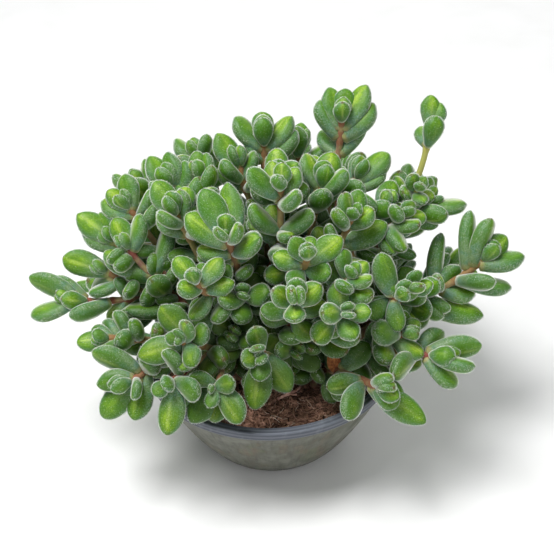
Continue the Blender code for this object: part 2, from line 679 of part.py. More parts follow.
def make_pot(collection, cutters):
    """The bowl pot: curved wall, flat base with drainage holes and a flat lip round the rim."""
    heights = (0.0, *POT_WALL_HEIGHTS, POT_HEIGHT - POT_LIP_DROP)
    lip_inside = POT_RIM_RADIUS - POT_LIP_WIDTH
    lip_corner = POT_HEIGHT - POT_LIP_EDGE
    profile = [(0.0, POT_WALL)]
    profile += [(pot_outer(z) - POT_WALL, max(z, POT_WALL)) for z in heights]
    profile += [(lip_inside, POT_HEIGHT - POT_WALL), (lip_inside, POT_HEIGHT)]
    profile += [(POT_RIM_RADIUS - POT_LIP_EDGE, POT_HEIGHT), (POT_RIM_RADIUS, lip_corner)]
    profile += [(POT_RIM_RADIUS, POT_HEIGHT - POT_LIP_DROP)]
    profile += [(pot_outer(z), z) for z in reversed(heights)]
    profile += [(0.0, 0.0)]
    pot = turned("pot", profile, POT_SIDES, collection)
    pot.data.materials.append(material("pot plastic", POT_COLOUR, POT_ROUGHNESS))
    for k in range(DRAIN_HOLES):
        angle = 2 * math.pi * k / DRAIN_HOLES
        place = Vector((math.cos(angle), math.sin(angle), 0)) * DRAIN_HOLE_CIRCLE
        hole_cutter("drain_hole_%d" % (k + 1), place, DRAIN_HOLE_RADIUS, 4 * POT_WALL, cutters["drains"])
    cut = pot.modifiers.new("drain", 'BOOLEAN')
    cut.operand_type = 'COLLECTION'
    cut.collection = cutters["drains"]
    cut.operation = 'DIFFERENCE'


def hole_cutter(name, place, radius, depth, collection):
    """A round hole's cutter: an upright cylinder with its middle at a place."""
    bpy.ops.mesh.primitive_cylinder_add(vertices=HOLE_SIDES, radius=radius * MM, depth=depth * MM)
    hole = bpy.context.object
    hole.name = name
    hole.location = place * MM
    for old in list(hole.users_collection):
        old.objects.unlink(hole)
    collection.objects.link(hole)
    hole.hide_render = True
    hole.display_type = 'WIRE'


def make_soil(collection, cutters, feet):
    """The compost: fills the pot with a gap all round, with a plain hole for each stem."""
    heights = (*POT_WALL_HEIGHTS, SOIL_TOP)
    profile = [(0.0, SOIL_TOP + SOIL_CROWN)]
    profile += [(SOIL_SHOULDER_RADIUS, SOIL_TOP + SOIL_CROWN * SOIL_SHOULDER_SHARE)]
    side = POT_WALL + SOIL_SIDE_GAP
    profile += [(pot_outer(z) - side, z) for z in reversed(heights)]
    profile += [(POT_BASE_RADIUS - side, POT_WALL + GAP), (0.0, POT_WALL + GAP)]
    soil = turned("soil", profile, SOIL_SIDES, collection)
    soil.data.materials.append(material("coir compost", SOIL_COLOUR, SOIL_ROUGHNESS))
    for name, foot in feet.items():
        hole_cutter("hole_" + name, foot, STEM_FOOT_RADIUS + 3 * GAP, 2 * (FOOT_DEPTH + GAP), cutters["holes"])
    cut = soil.modifiers.new("stem holes", 'BOOLEAN')
    cut.operand_type = 'COLLECTION'
    cut.collection = cutters["holes"]
    cut.operation = 'DIFFERENCE'


def make_tube(name, path, start, end, collection):
    """A stem as a mesh tube made from a poly curve, its caps welded."""
    data = bpy.data.curves.new(name, 'CURVE')
    data.dimensions = '3D'
    data.bevel_depth = MM
    data.bevel_resolution = 1
    data.use_fill_caps = True
    spline = data.splines.new('POLY')
    spline.points.add(len(path) - 1)
    for index, (point, place) in enumerate(zip(spline.points, path)):
        point.co = (place.x * MM, place.y * MM, place.z * MM, 1.0)
        point.radius = start + (end - start) * index / (len(path) - 1)
    curve = new_object(name, data, collection)
    evaluated = curve.evaluated_get(bpy.context.evaluated_depsgraph_get())
    mesh = bpy.data.meshes.new_from_object(evaluated)
    weld = bmesh.new()
    weld.from_mesh(mesh)
    bmesh.ops.remove_doubles(weld, verts=weld.verts, dist=0.00001)
    bmesh.ops.recalc_face_normals(weld, faces=weld.faces)
    weld.to_mesh(mesh)
    weld.free()
    bpy.data.objects.remove(curve)
    return new_object(name, mesh, collection)


def make_plant(name, paths, leaves, collection):
    """One leafy stem: the stem, its side shoots and their leaves joined in one solid."""
    pieces = bpy.data.collections.new(name + " pieces")
    bpy.context.scene.collection.children.link(pieces)
    foot = paths[name][0]
    line = [foot - Vector((0, 0, FOOT_DEPTH)), foot] + paths[name][STEM_STEP::STEM_STEP]
    stem = make_tube(name, line, STEM_FOOT_RADIUS, STEM_TIP_RADIUS, collection)
    for side, (parent, fork) in SIDE_SHOOTS.items():
        if parent == name:
            swollen = STEM_TIP_RADIUS + SIDE_SHOOT_SWELL
            make_tube(side + " piece", paths[side][::STEM_STEP], swollen, STEM_TIP_RADIUS, pieces)
    template, faces = leaf_template()
    for leaf in leaves:
        if leaf["plant"] == name and leaf["length"] - STEM_TIP_RADIUS >= SMALLEST_SOLID_LEAF:
            mesh = bpy.data.meshes.new("leaf piece")
            mesh.from_pydata([tuple(p * MM) for p in leaf_points(leaf, template)], [], faces)
            new_object("leaf piece", mesh, pieces)
    join = stem.modifiers.new("grown together", 'BOOLEAN')
    join.operand_type = 'COLLECTION'
    join.collection = pieces
    join.operation = 'UNION'
    evaluated = stem.evaluated_get(bpy.context.evaluated_depsgraph_get())
    joined = bpy.data.meshes.new_from_object(evaluated)
    stem.modifiers.clear()
    stem.data = joined
    joined.name = name
    joined.materials.clear()
    joined.materials.append(material("leaf and stem of " + name, LEAF_COLOUR, LEAF_ROUGHNESS))
    for piece in list(pieces.objects):
        bpy.data.objects.remove(piece)
    bpy.data.collections.remove(pieces)


def main():
    for old in list(bpy.data.objects):
        bpy.data.objects.remove(old)
    collection = bpy.data.collections.new("Potted crassula")
    cutter_collection = bpy.data.collections.new("Cutters")
    bpy.context.scene.collection.children.link(collection)
    bpy.context.scene.collection.children.link(cutter_collection)
    cutters = {}
    for name in ("drains", "holes"):
        cutters[name] = bpy.data.collections.new(name)
        cutter_collection.children.link(cutters[name])
    shoots = all_shoots()
    paths = stem_paths(shoots)
    feet = {name: path[0] for name, path in paths.items() if name not in SIDE_SHOOTS}
    leaves, _ = lay_out_leaves(shoots, paths)
    make_pot(collection, cutters)
    make_soil(collection, cutters, feet)
    for name in feet:
        make_plant(name, paths, leaves, collection)


main()
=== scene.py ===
"""Looks of a potted crassula: a bushy velvet-leaved succulent in a shallow plastic bowl pot.

The leafy stems are grown from the same shoots as the solids, then get fine leaves, young leaves,
shaded inner leaves and a felt of short white hairs. Tables and growing rules are in millimetres.
"""
import itertools
import math
import random

import bmesh
import bpy
import numpy
from bpy.props import FloatProperty, FloatVectorProperty, IntProperty, PointerProperty
from mathutils import Matrix, Vector, noise
from mathutils.bvhtree import BVHTree


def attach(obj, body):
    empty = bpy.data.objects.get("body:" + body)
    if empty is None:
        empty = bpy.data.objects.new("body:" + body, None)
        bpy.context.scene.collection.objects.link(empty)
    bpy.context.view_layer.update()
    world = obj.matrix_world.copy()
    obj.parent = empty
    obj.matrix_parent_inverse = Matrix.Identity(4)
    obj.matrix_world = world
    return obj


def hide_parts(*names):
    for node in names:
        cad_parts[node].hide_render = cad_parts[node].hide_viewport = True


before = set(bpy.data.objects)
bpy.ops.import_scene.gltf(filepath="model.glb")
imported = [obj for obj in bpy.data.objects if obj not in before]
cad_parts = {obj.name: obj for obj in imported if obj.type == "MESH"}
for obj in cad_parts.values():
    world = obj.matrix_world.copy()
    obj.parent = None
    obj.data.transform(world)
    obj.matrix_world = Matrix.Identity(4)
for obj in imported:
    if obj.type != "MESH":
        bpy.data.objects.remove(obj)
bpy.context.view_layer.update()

bl_info = {
    "name": "Potted Crassula",
    "version": (1, 0, 0),
    "blender": (4, 5, 0),
    "location": "View3D > Sidebar > Crassula",
    "description": "Builds the looks of a velvet-leaved succulent in a bowl pot",
    "category": "Object",
}

MM = 0.001
BODY = "root"

# Pot
POT_HEIGHT = 70.0
POT_RIM_RADIUS = 80.0
POT_BASE_RADIUS = 38.0
POT_WALL = 2.2
POT_LIP_WIDTH = 5.5
POT_LIP_DROP = 5.5
POT_LIP_STEP = 2.0
POT_WALL_CURVE = 0.72
DRAIN_HOLE_RADIUS = 3.5
DRAIN_HOLE_CIRCLE = 22.0
DRAIN_HOLES = 4

# Compost
SOIL_TOP = 62.0
SOIL_CROWN = 2.5
SOIL_SHOULDER_RADIUS = 45.0
SOIL_SHOULDER_SHARE = 0.6
SOIL_SIDE_GAP = 1.0
GAP = 0.3

# Stems
FOOT_DEPTH = 11.0
FOOT_SPREAD = 0.40
FOOT_LIMIT = 60.0
FOOT_SPACING = 11.0
FOOT_LEAN = 180.0
FOOT_ROUNDS = 200
FOOT_PUSH = 0.35
STEM_FOOT_RADIUS = 2.7
STEM_TIP_RADIUS = 1.7
STEM_SAMPLES = 25
STEM_CLEARANCE = 1.4
STEM_CURVE = 0.36
STEM_ROUNDS = 60
STEM_PUSH = 0.25
STEM_FIXED_ENDS = 6.0
SIDE_SHOOT_SWELL = 0.3
LEAST_GAP = 0.1
TEST_TUBE_SIDES = 6
TEST_TUBE_SIDE = Vector((0.3, 0.2, 1))

# Leaves
LEAF_SIDES = 5
LEAF_RINGS = 2
LEAF_USUAL = 18.0
LEAF_BREADTH = 0.66
LEAF_BREADTH_LOSS = 0.0115
LEAF_THICKNESS = 0.48
LEAF_NECK = 0.40
LEAF_WIDEST = 0.56
LEAF_TIP_CURVE = 2.1
LEAF_EDGE_DEPTH = 0.35
LEAF_TOP_SHARE = 0.72
LEAF_RISE = 0.10
LEAF_ROOT = 1.3
LEAF_STATIONS = (0.0, 0.56, 0.88, 1.0)
BLADE_START = 0.2
RIM_CLEARANCE = 1.5
SOIL_CLEARANCE = 1.0
LEAF_SEED = 47
TURN_DRAW = 6.0
OPENING_DRAW = 5.0
LENGTH_DRAW = 0.06
FIT_GAP_SHARE = 0.6

# The photograph's upward direction, seen from the front and this many degrees above. A leaf
# pair's turn is counted clockwise from it, looking at the growing tip from outside.
VIEW_ELEVATION = math.radians(36)
VIEW_UP = Vector((0.0, math.sin(VIEW_ELEVATION), math.cos(VIEW_ELEVATION)))
VIEW_RIGHT = Vector((1.0, 0.0, 0.0))
VIEW_NEAR = VIEW_RIGHT.cross(VIEW_UP)

# Middle of the dome that the shoots make
DOME_MIDDLE = Vector((0.0, 0.0, SOIL_TOP))

# Shoots that the photograph shows: the growing tip's place, the way it points as azimuth and
# elevation, and the leaf pairs that are half hidden, each with its distance below the tip, its
# turn, its leaf length and how far it opens from the stem. A pair that grew askew gives a turn or
# a length for each of its two leaves.
SHOOTS = {
    "crown": ((47, 46, 206), (60, 85), ((2, 20, 13, 20),)),
    "sprig": ((98, 33, 205), (70, 78), ()),
    "sprig_low": ((91, 20, 171), (330, 70),
        ((1, 45, 9, 25), (5, 350, 13, 42), (9, 80, 12, 62), (14, 345, 14, 70), (19, 90, 12, 75))),
    "top_centre": ((0, 46, 194), (90, 80), ((1, 0, 13, 20),)),
    "top_front": ((7, 8, 186), (270, 80),
        ((1, 10, 14, 20), (10, (215, 40), 24, 28), (19, (95, 275), 22, 48))),
    "upright": ((9, -18, 200), (280, 84), ((2, 20, 12, 30),)),
    "trio": ((22, -46, 170), (285, 75), ((1, 0, 11, 10),)),
    "rosette": ((15, -62, 153), (276, 55),
        ((1, 275, 13, 16), (5, (0, 185), 16, 55), (9, (295, 60), 18, 52), (20, (275, 85), 18, 80),
         (30, (330, 150), 19, 80))),
    "right_small": ((42, -62, 143), (302, 48),
        ((1, 5, 9, 22), (4, (95, 275), 16, 60), (8, (0, 170), 18, 68), (15, (60, 235), 19, 80))),
    "low_centre": ((-6, -64, 118), (262, 35), ((1, (160, 340), 10, 30),)),
    "low_left": ((-33, -72, 100), (245, 30), ()),
    "left_mid": ((-50, -58, 123), (228, 40), ((1, (20, 300), 10, 30),)),
    "left_stem": ((-83, 4, 146), (165, 60), ((1, 60, 10, 20),)),
    "left_high": ((-52, -2, 174), (190, 72),
        ((1, 10, 13, 20), (9, (20, 200), 20, 36), (18, (285, 100), 20, 62))),
    "left_inner": ((-22, -32, 176), (240, 70), ((1, 40, 13, 25), (24, (55, 235), 20, 60))),
    "shoulder": ((-55, 22, 177), (150, 65), ((1, 0, 14, 18), (14, (290, 100), 21, 55))),
    "shoulder_right": ((-39, 26, 179), (140, 70), ((1, 60, 12, 18), (9, (60, 240), 19, 40))),
    "top_left": ((-15, 34, 183), (110, 75),
        ((1, 60, 12, 20), (10, (40, 220), 18, 42), (16, (300, 110), 20, 60))),
    "left_bright": ((-82, 20, 165), (160, 60), ((1, 0, 11, 20), (15, 280, 19, 68))),
    "left_pair": ((-93, 14, 145), (172, 45), ((1, 60, 10, 20), (15, 320, 20, 66))),
    "left_long": ((-99, 8, 127), (180, 35),
        ((1, 50, 10, 20), (12, (340, 190), 20, 56), (20, 290, 21, 72))),
    "left_tip": ((-120, -1, 114), (185, 25), ((1, 60, 10, 20),)),
    "left_low": ((-97, -31, 106), (200, 20),
        ((1, 50, 9, 20), (14, (310, 100), 17, 60), (20, (280, 60), 18, 70))),
    "low_corner": ((-83, -55, 93), (205, 5), ((1, 300, 12, 20), (20, (70, 250), 20, 80))),
    "low_side": ((-58, -67, 101), (235, 15), ((1, 60, 12, 30), (9, (165, 340), 20, 85))),
    "mid_trio": ((-40, -46, 156), (230, 75), ((1, 0, 11, 12), (18, 20, 18, 75))),
    "right_cluster": ((49, -14, 174), (330, 70), ((1, 60, 10, 20), (8, (265, 80), 17, 42))),
    "top_right": ((33, 12, 181), (20, 78),
        ((1, 0, 14, 18), (9, (315, 135), 24, 30), (16, (50, 230), 25, 42))),
    "right_back": ((55, 30, 174), (30, 70), ((1, 0, 12, 20), (15, (70, 250), 22, 62))),
    "right_high": ((70, 12, 165), (5, 65), ((1, 80, 10, 20), (9, 90, 17, 58), (15, 350, 18, 66))),
    "right_pale": ((80, 4, 163), (350, 50), ((1, 30, 10, 20), (4, 100, 15, 56), (15, 80, 20, 75))),
    "right_long": ((96, 24, 158), (15, 35), ((1, 0, 11, 20), (14, 0, 18, 70))),
    "right_arm": ((130, 0, 133), (10, 50), ((2, 60, 13, 20),)),
    "right_bud": ((82, -34, 138), (320, 60), ((1, 0, 12, 30), (6, 90, 14, 60))),
    "right_round": ((74, -39, 136), (325, 40), ((1, 60, 12, 22), (10, 60, 18, 75))),
    "right_inner": ((46, -45, 156), (316, 60),
        ((1, 60, 10, 20), (4, 330, 16, 50), (9, 60, 17, 60), (15, 150, 22, 60))),
    "low_right": ((96, -52, 101), (338, 10), ((1, 100, 13, 18),)),
    "low_inner": ((78, -44, 112), (335, 25),
        ((1, 40, 9, 20), (9, (330, 150), 20, 65), (15, (40, 220), 22, 70))),
    "low_pale": ((60, -74, 98), (305, 15), ((1, (330, 120), 13, 30),)),
    "front_inner": ((14, -46, 103), (286, 50),
        ((1, 30, 10, 20), (4, 300, 18, 55), (9, 30, 18, 70), (15, 120, 19, 85))),
    "inner_left": ((-20, -40, 112), (250, 50),
        ((1, 30, 10, 20), (4, 300, 17, 55), (9, 30, 17, 70), (15, 120, 18, 85))),
    "inner_mid": ((-14, -36, 138), (260, 55),
        ((1, 0, 10, 20), (4, 280, 19, 55), (9, 10, 17, 70), (16, 95, 18, 80))),
}

# Leaves that the photograph shows plainly, by shoot: how far below the growing tip each grows, how
# far right of and above its root its tip shows, its length, and 1 where it comes towards the
# viewer, -1 where it goes away and 0 where it lies square to the view.
SHOWN_LEAVES = {
    "crown": (
        (9, -7, 27, 26, 0), (9, 17, 27, 30, 0), (9, 3, 26, 24, 0), (14, -12, 23, 25, 0),
        (14, 21, 19, 28, 0), (25, 18, 21, 26, 0), (25, -9, 16, 20, -1),
    ),
    "sprig": (
        (1, 2, 19, 18, 0), (1, 8, 15, 15, -1), (12, 5, 16, 20, 1), (12, 0, 13, 17, -1),
    ),
    "top_centre": (
        (4, 0, 19, 18, 0), (4, 0, 14, 17, 1), (9, -17, 22, 26, 0), (9, 17, 21, 26, 0),
        (16, 20, 18, 26, 0), (16, -10, 18, 19, 0),
    ),
    "top_front": (
        (5, 1, 24, 22, 0), (5, -8, 4, 18, 1),
    ),
    "upright": (
        (9, -18, 16, 24, 1), (9, 11, 16, 18, 0), (14, -2, 26, 24, -1), (14, 11, 4, 20, 1),
        (34, -18, 13, 26, 1), (34, 18, 10, 27, 1),
    ),
    "trio": (
        (4, -7, 14, 15, 1), (4, 4, 14, 14, -1), (8, 16, 21, 24, 0), (8, -18, 6, 17, 0),
        (14, 16, -3, 17, 1), (14, -6, -9, 16, 1),
    ),
    "low_centre": (
        (3, -10, -4, 14, 1), (3, 0, -16, 15, 1), (8, -4, -33, 31, 0), (8, -4, 15, 18, 1),
        (14, 16, -23, 26, 0),
    ),
    "low_left": (
        (2, 12, 3, 14, 1), (2, -3, -11, 11, 1), (5, -15, 7, 16, 1), (5, 15, -20, 25, 1),
        (12, -16, -24, 28, 0), (12, -2, -25, 23, 0),
    ),
    "left_mid": (
        (4, 2, 12, 16, 1), (4, 6, -13, 16, 1), (8, -30, -4, 29, 0), (8, 10, 8, 16, 1),
        (13, -19, 24, 28, 0), (13, -6, -15, 18, 1), (19, 1, 28, 26, 0),
    ),
    "left_stem": (
        (4, -10, 21, 22, 0), (4, 4, 25, 23, 0), (24, -29, 14, 31, 0), (24, 9, 34, 34, 0),
        (50, -36, 2, 35, 0), (50, -4, 9, 20, -1),
    ),
    "left_high": (
        (4, -14, 21, 24, 0), (4, 5, 19, 20, -1),
    ),
    "left_inner": (
        (5, -13, 31, 32, 0), (5, 7, 8, 16, 1), (9, 1, 36, 35, 0), (9, -25, 17, 29, 0),
        (16, 15, 9, 24, 1), (16, -21, 3, 19, 0),
    ),
    "shoulder": (
        (4, -16, 21, 25, 0), (4, -3, 24, 23, 0), (8, 4, 23, 21, 0), (8, -10, 10, 20, 1),
    ),
    "shoulder_right": (
        (4, -6, 20, 19, 0), (4, 5, 19, 18, 0), (15, 1, 5, 22, 1), (15, -11, 7, 20, 1),
    ),
    "top_left": (
        (5, -13, 25, 26, 0), (5, 8, 14, 18, -1),
    ),
    "left_bright": (
        (4, -5, 23, 22, 0), (4, -14, 14, 18, 0), (9, -20, 13, 23, 0), (9, 5, 9, 20, 1),
    ),
    "left_pair": (
        (4, -23, 20, 29, 0), (4, -10, 20, 21, 0), (9, -26, 13, 28, 0), (9, -8, -7, 18, 1),
    ),
    "left_long": (
        (5, -28, 14, 30, 0), (5, -13, -8, 22, -1),
    ),
    "left_tip": (
        (4, -28, 16, 31, 0), (4, -29, -9, 29, 0), (9, -21, 18, 26, 0), (9, -14, 1, 16, 1),
        (24, -24, -9, 26, 1),
    ),
    "left_low": (
        (4, -21, -2, 20, 0), (4, -14, 5, 15, -1), (8, -12, -7, 14, 1), (8, -11, 10, 17, -1),
    ),
    "low_corner": (
        (4, -22, -1, 21, 0), (4, 1, -10, 14, 1), (9, -35, -8, 34, 0), (9, -29, 14, 30, 0),
        (14, -21, -22, 29, 0), (14, 2, 7, 20, 1),
    ),
    "low_side": (
        (4, -4, -31, 30, 0), (4, 11, 7, 20, 1),
    ),
    "mid_trio": (
        (4, -12, 17, 19, 0), (4, 14, 15, 19, 0), (8, 1, 15, 14, -1), (8, -12, 2, 15, 1),
        (12, 17, 6, 17, 1),
    ),
    "right_cluster": (
        (4, -2, 17, 18, 1), (4, 8, 19, 18, 0), (24, 29, 12, 30, 0), (24, -5, 12, 18, 1),
    ),
    "top_right": (
        (4, 8, 22, 22, 0), (4, -8, 22, 22, 0),
    ),
    "right_back": (
        (4, 21, 18, 26, 0), (4, 5, 17, 18, -1), (9, 22, 10, 22, 0), (9, -6, 14, 14, 0),
    ),
    "right_high": (
        (4, 4, 20, 20, -1), (4, -10, 8, 18, 1),
    ),
    "right_pale": (
        (9, 3, -17, 22, 1), (9, 15, -2, 18, 1),
    ),
    "right_long": (
        (4, 29, 2, 27, 0), (4, 7, 18, 18, -1), (8, 17, -2, 22, 1), (8, -5, 14, 18, -1),
    ),
    "right_arm": (
        (6, 18, 16, 23, 0), (6, 28, 3, 27, 0), (10, 20, 26, 31, 0), (10, 5, 17, 16, 0),
        (14, 4, 37, 36, 0), (14, 4, -8, 20, -1), (22, 20, -1, 27, 1), (22, 34, -6, 33, -1),
        (38, 7, 36, 35, 0), (38, 17, 15, 21, 0), (52, 15, -9, 22, 1), (52, 43, -8, 42, 0),
    ),
    "right_round": (
        (4, -9, 25, 27, 1), (4, 1, -19, 18, 0),
    ),
    "low_right": (
        (3, 11, 0, 15, 1), (3, 24, -7, 25, 1), (7, 33, 6, 32, 0), (7, 18, -19, 25, 0),
        (12, -17, -9, 25, 1), (12, 17, 13, 22, -1),
    ),
    "low_inner": (
        (4, -16, 4, 22, 1), (4, 13, 7, 13, 0),
    ),
    "low_pale": (
        (4, 9, 5, 16, 1), (4, 14, -12, 17, 0), (9, 31, -25, 39, 0), (9, 21, -11, 22, 0),
        (13, -11, -21, 27, 1), (13, -21, -3, 20, 1),
    ),
}

# Side shoots, the stem that each grows from, and how far up that stem it forks
SIDE_SHOOTS = {
    "sprig_low": ("sprig", 0.72),
    "top_front": ("top_centre", 0.45),
    "top_left": ("top_centre", 0.40),
    "trio": ("upright", 0.40),
    "front_inner": ("rosette", 0.35),
    "right_inner": ("right_small", 0.45),
    "low_left": ("left_mid", 0.30),
    "low_side": ("left_mid", 0.40),
    "mid_trio": ("left_inner", 0.40),
    "shoulder_right": ("shoulder", 0.45),
    "left_pair": ("left_stem", 0.50),
    "left_tip": ("left_long", 0.45),
    "low_corner": ("left_low", 0.40),
    "right_back": ("top_right", 0.45),
    "right_pale": ("right_high", 0.45),
    "right_bud": ("right_arm", 0.50),
    "right_round": ("right_arm", 0.40),
    "low_inner": ("low_right", 0.45),
    "inner_mid": ("inner_left", 0.45),
    "far_1": ("far_8", 0.35),
    "far_3": ("far_9", 0.35),
    "far_4": ("far_10", 0.35),
    "far_5": ("far_11", 0.35),
    "far_7": ("far_12", 0.35),
}

# Shoots of the far side, which the photograph hides: azimuth, elevation and reach from the middle
# of the dome, and the length of the grown leaves
FAR_SHOOTS = {
    "far_1": (22, 12, 132, 24),
    "far_2": (44, 17, 134, 26),
    "far_3": (66, 13, 128, 22),
    "far_4": (88, 17, 134, 25),
    "far_5": (110, 13, 130, 23),
    "far_6": (132, 17, 134, 26),
    "far_7": (154, 12, 126, 22),
    "far_8": (34, 36, 138, 24),
    "far_9": (58, 38, 130, 25),
    "far_10": (84, 37, 140, 27),
    "far_11": (110, 37, 132, 24),
    "far_12": (136, 36, 138, 26),
    "far_13": (72, 58, 132, 25),
    "far_14": (124, 56, 134, 24),
}

# Their leaf pairs: distance below the tip, turn, share of the grown leaf's length and opening
FAR_PAIRS = ((1, 0, 0.5, 20), (5, 90, 0.85, 40), (11, 0, 1.0, 58), (19, 90, 0.9, 74))
FAR_AIM_SHARE = 0.6
FAR_AIM_LIFT = 30
FAR_FIRST_TURN = 45
FAR_TURN_STEP = 37

# Changes that a leaf tries when it would touch another, mildest first
OPENING_CHANGES = (0, 7, -7, 14, -14, 22, -22, 32)
TURN_CHANGES = (0, 9, -9, 18, -18, 30, -30, 44, -44)
LENGTH_CHANGES = (1.0, 0.92, 0.84, 0.72, 0.6)

# The most stems and leaves that the test for room can hold
MOST_PLACED = 2000

# Finer shapes of the pot
POT_AROUND = 144
WALL_STEPS = 26
ARC_STEPS = 5
LIP_INNER_EDGE = 0.7
LIP_OUTER_EDGE = 1.0
LIP_LOWER_EDGE = 0.7
LIP_GROOVES = 3
LIP_GROOVE_DEPTH = 0.25
LIP_GROOVE_HALF = 0.25
RIM_LINE_SPACING = 2.4
FOOT_EDGE = 0.8
HOLE_AROUND = 32
HOLE_CUT_DEPTH = 4 * POT_WALL

# Finer shapes of the compost
BED_RINGS = 50
BED_AROUND = 200
BED_LUMP = 8.0
BED_CRUMB = 2.8
BED_RELIEF = 2.1
BED_CRUMB_SHARE = 0.6
BED_CRUMB_SLICE = 40
BED_SIDE_HEIGHTS = (52.0, 38.0, 18.0, 5.0)
BED_SEED = 5

# Husk strands and crumbs: least, most and usual values where there are three
COIR_MARGIN = 2.0
STRAND_MARGIN = 1.0
STRAND_STEPS = 5
STRAND_SIDES = 3
STRAND_BOW = 0.35
STRAND_LENGTH = (2.0, 15.0, 6.0)
STRAND_RADIUS = (0.10, 0.42, 0.16)
STRAND_LIFT = (-0.1, 1.6)
STRAND_SETTLING = (0.4, 1.0)
CRUMB_SIDES = 5
CRUMB_SIZE = (0.5, 2.0, 0.8)
CRUMB_TILT = 0.4
CRUMB_GIRTH = (0.35, 0.75)
CRUMB_TONE = (0.1, 0.85)
TUBE_SIDE = Vector((0.31, 0.17, 1.0))
TUBE_ROUGHNESS = (0.7, 1.3)

# Numbers that the leaf and stem meshes carry at their points, and their material slots
POINT_NUMBERS = ("along", "across", "upper", "tone", "shade", "young")
SKIN_SLOT, HAIR_SLOT, BARK_SLOT = range(3)

# Fine leaves. A blade's shape is drawn for each leaf: where it is widest, how wide its foot is, how
# fast it widens, how fast it narrows and how blunt its point is.
BLADE_SHAPE = ((0.56, 0.68), (0.26, 0.38), (0.95, 1.5), (1.6, 2.3), (0.56, 0.75))
LEAF_STEPS = 12
LEAF_AROUND = 14
LEAF_FIRST_STEP = 0.35
LEAF_STEP_EASE = 0.9
LEAF_ROLL = 9
LEAF_CURL = (-0.05, 0.07)
LEAF_SWAY = 0.05
SECTION_BASE = 0.42
SECTION_GAIN = 0.58
SECTION_POWER = 0.8
TIP_START = 0.86
TIP_SPAN = 0.145
TIP_LEAST = 0.003
FACE_CROWN = 0.85
UPPER_DEPTH = 0.82
LOWER_DEPTH = 1.05
GROOVE_DEPTH = 0.12
GROOVE_WIDTH = 0.3
SMALL_LEAF = 15.0
LEAF_SLIMNESS = (0.95, 1.12)
LEAF_FULLNESS = (0.60, 0.76)
LONG_LEAF = 21.0
LONG_LEAF_GAIN = 0.014
BROAD_LEAF = 7.8
BROAD_LEAF_LOSS = 0.6
SMALL_LEAF_STEPS = 9
SMALL_LEAF_AROUND = 12
YOUNG_LEAF_SLIMNESS = 0.25

# The pair that closes each growing tip: distance below the tip, length, opening and quarter turn
YOUNG_PAIR = (0.3, 5.0, 10, 90)

# Shaded pairs inside the plant
INNER_DROPS = (34, 44, 54, 66, 80)
INNER_OPENING = (48, 76)
INNER_LENGTH = (15, 24)
INNER_FLOOR = 72.0
INNER_STEM_LEFT = 8
INNER_SEED = 11
BARE_SHOOTS = ("sprig", "crown")

# Tone, shade and youth of a leaf
LEAF_MIDDLE = 0.6
TONE_SPREAD = 0.28
SHADE_REACH = 116
SHADE_SPAN = 52
SHADE_DRAW = (0.7, 1.0)
YOUNG_LENGTH = 16.0
YOUNG_SPAN = 7.0
YOUNG_SHARE = 0.8

# Leaf hairs
SHADED_HAIR_LOSS = 0.8
HAIR_START = 0.2
HAIR_END = 1.001
HAIR_EDGE = 0.05
HAIR_FACE_LIFT = 1.3
HAIR_LEAN = 0.25
HAIR_TIP_LEAN = 0.9
HAIR_RUFFLE = 0.28
HAIR_LENGTHS = (0.6, 1.15)
YOUNG_HAIR_GAIN = 0.25
HAIR_DEPTH = 0.1
TRIANGLE_SIDE = 0.87

# Fibres of the leaf skin: how often their noise changes over half the width and over the length of
# a leaf, and how far apart two leaves' tones put their patterns
FIBRE_PLACE = (5.0, 1.6, 40.0)

# Fine stems, swollen at each leaf pair
STEM_AROUND = 10
STEM_RING_STEP = 2.2
FEWEST_RINGS = 8
KNOT_DROP = 1.0
KNOT_LENGTH = 2.2
KNOT_SWELL = 0.55
STEM_ROUNDING = 1.5
FRESH_SHOOT = "sprig"
FRESH_REACH = 30.0
FRESHEST = 0.9
FRESHNESS = (0.0, 0.35)
TINY = 1e-6

# Fallen flower stalk: its line, its thickness at each point, and the twig at one of them
STALK_LINE = ((3, -43.4, 64.4), (6.5, -42.8, 65.9), (10, -41.6, 66.7), (13.5, -39.4, 66.5),
              (16.4, -36.4, 66.6), (17.0, -33.6, 65.2))
STALK_RADIUS = 0.95
STALK_SHARES = (1.0, 0.9, 1.25, 0.85, 1.0, 0.8)
STALK_SIDES = 10
STALK_FORK = 2
TWIG_STEPS = ((2.4, -1.6, 0.6), (4.6, -1.4, 0.4))
TWIG_SHARES = (0.8, 0.6, 0.7)
TWIG_SIDES = 8

# Dried leaf, which is caught on a low leaf above the compost
DEAD_LEAF_FOOT = (36.9, -37.0, 98.0)
DEAD_LEAF_WAY = (0.0, -0.70, -0.70)
DEAD_LEAF_LENGTH = 15.0
DEAD_LEAF_HALF_WIDTH = 4.0
DEAD_LEAF_HALF_DEPTH = 0.35
DEAD_LEAF_FOLD = 2.4
DEAD_LEAF_WRINKLE = 0.5
DEAD_LEAF_DROOP = 3.0

# The photograph's width and focal length in pixels, and its camera: the point that it looks at, its
# distance, its roll in degrees, its sensor and its near limit
PHOTO_WIDTH = 554
PHOTO_FOCAL = 1240.0
VIEW_TARGET = Vector((5.2, 0.0, 124.0))
VIEW_DISTANCE = 750.0
VIEW_ROLL = 2.0
SENSOR = 36.0
CLIP_START = 50.0

# Soft lamps: name, place in metres, width in metres and power in watts
LAMPS = (
    ("high soft lamp", (-0.40, -0.20, 1.40), 0.7, 20.0),
    ("front soft lamp", (0.7, -1.2, 0.8), 0.9, 3.0),
    ("back soft lamp", (0.3, 1.4, 0.8), 1.0, 5.0),
)


def direction(azimuth, elevation):
    """Unit vector from an azimuth and an elevation in degrees."""
    a, e = math.radians(azimuth), math.radians(elevation)
    return Vector((math.cos(e) * math.cos(a), math.cos(e) * math.sin(a), math.sin(e)))


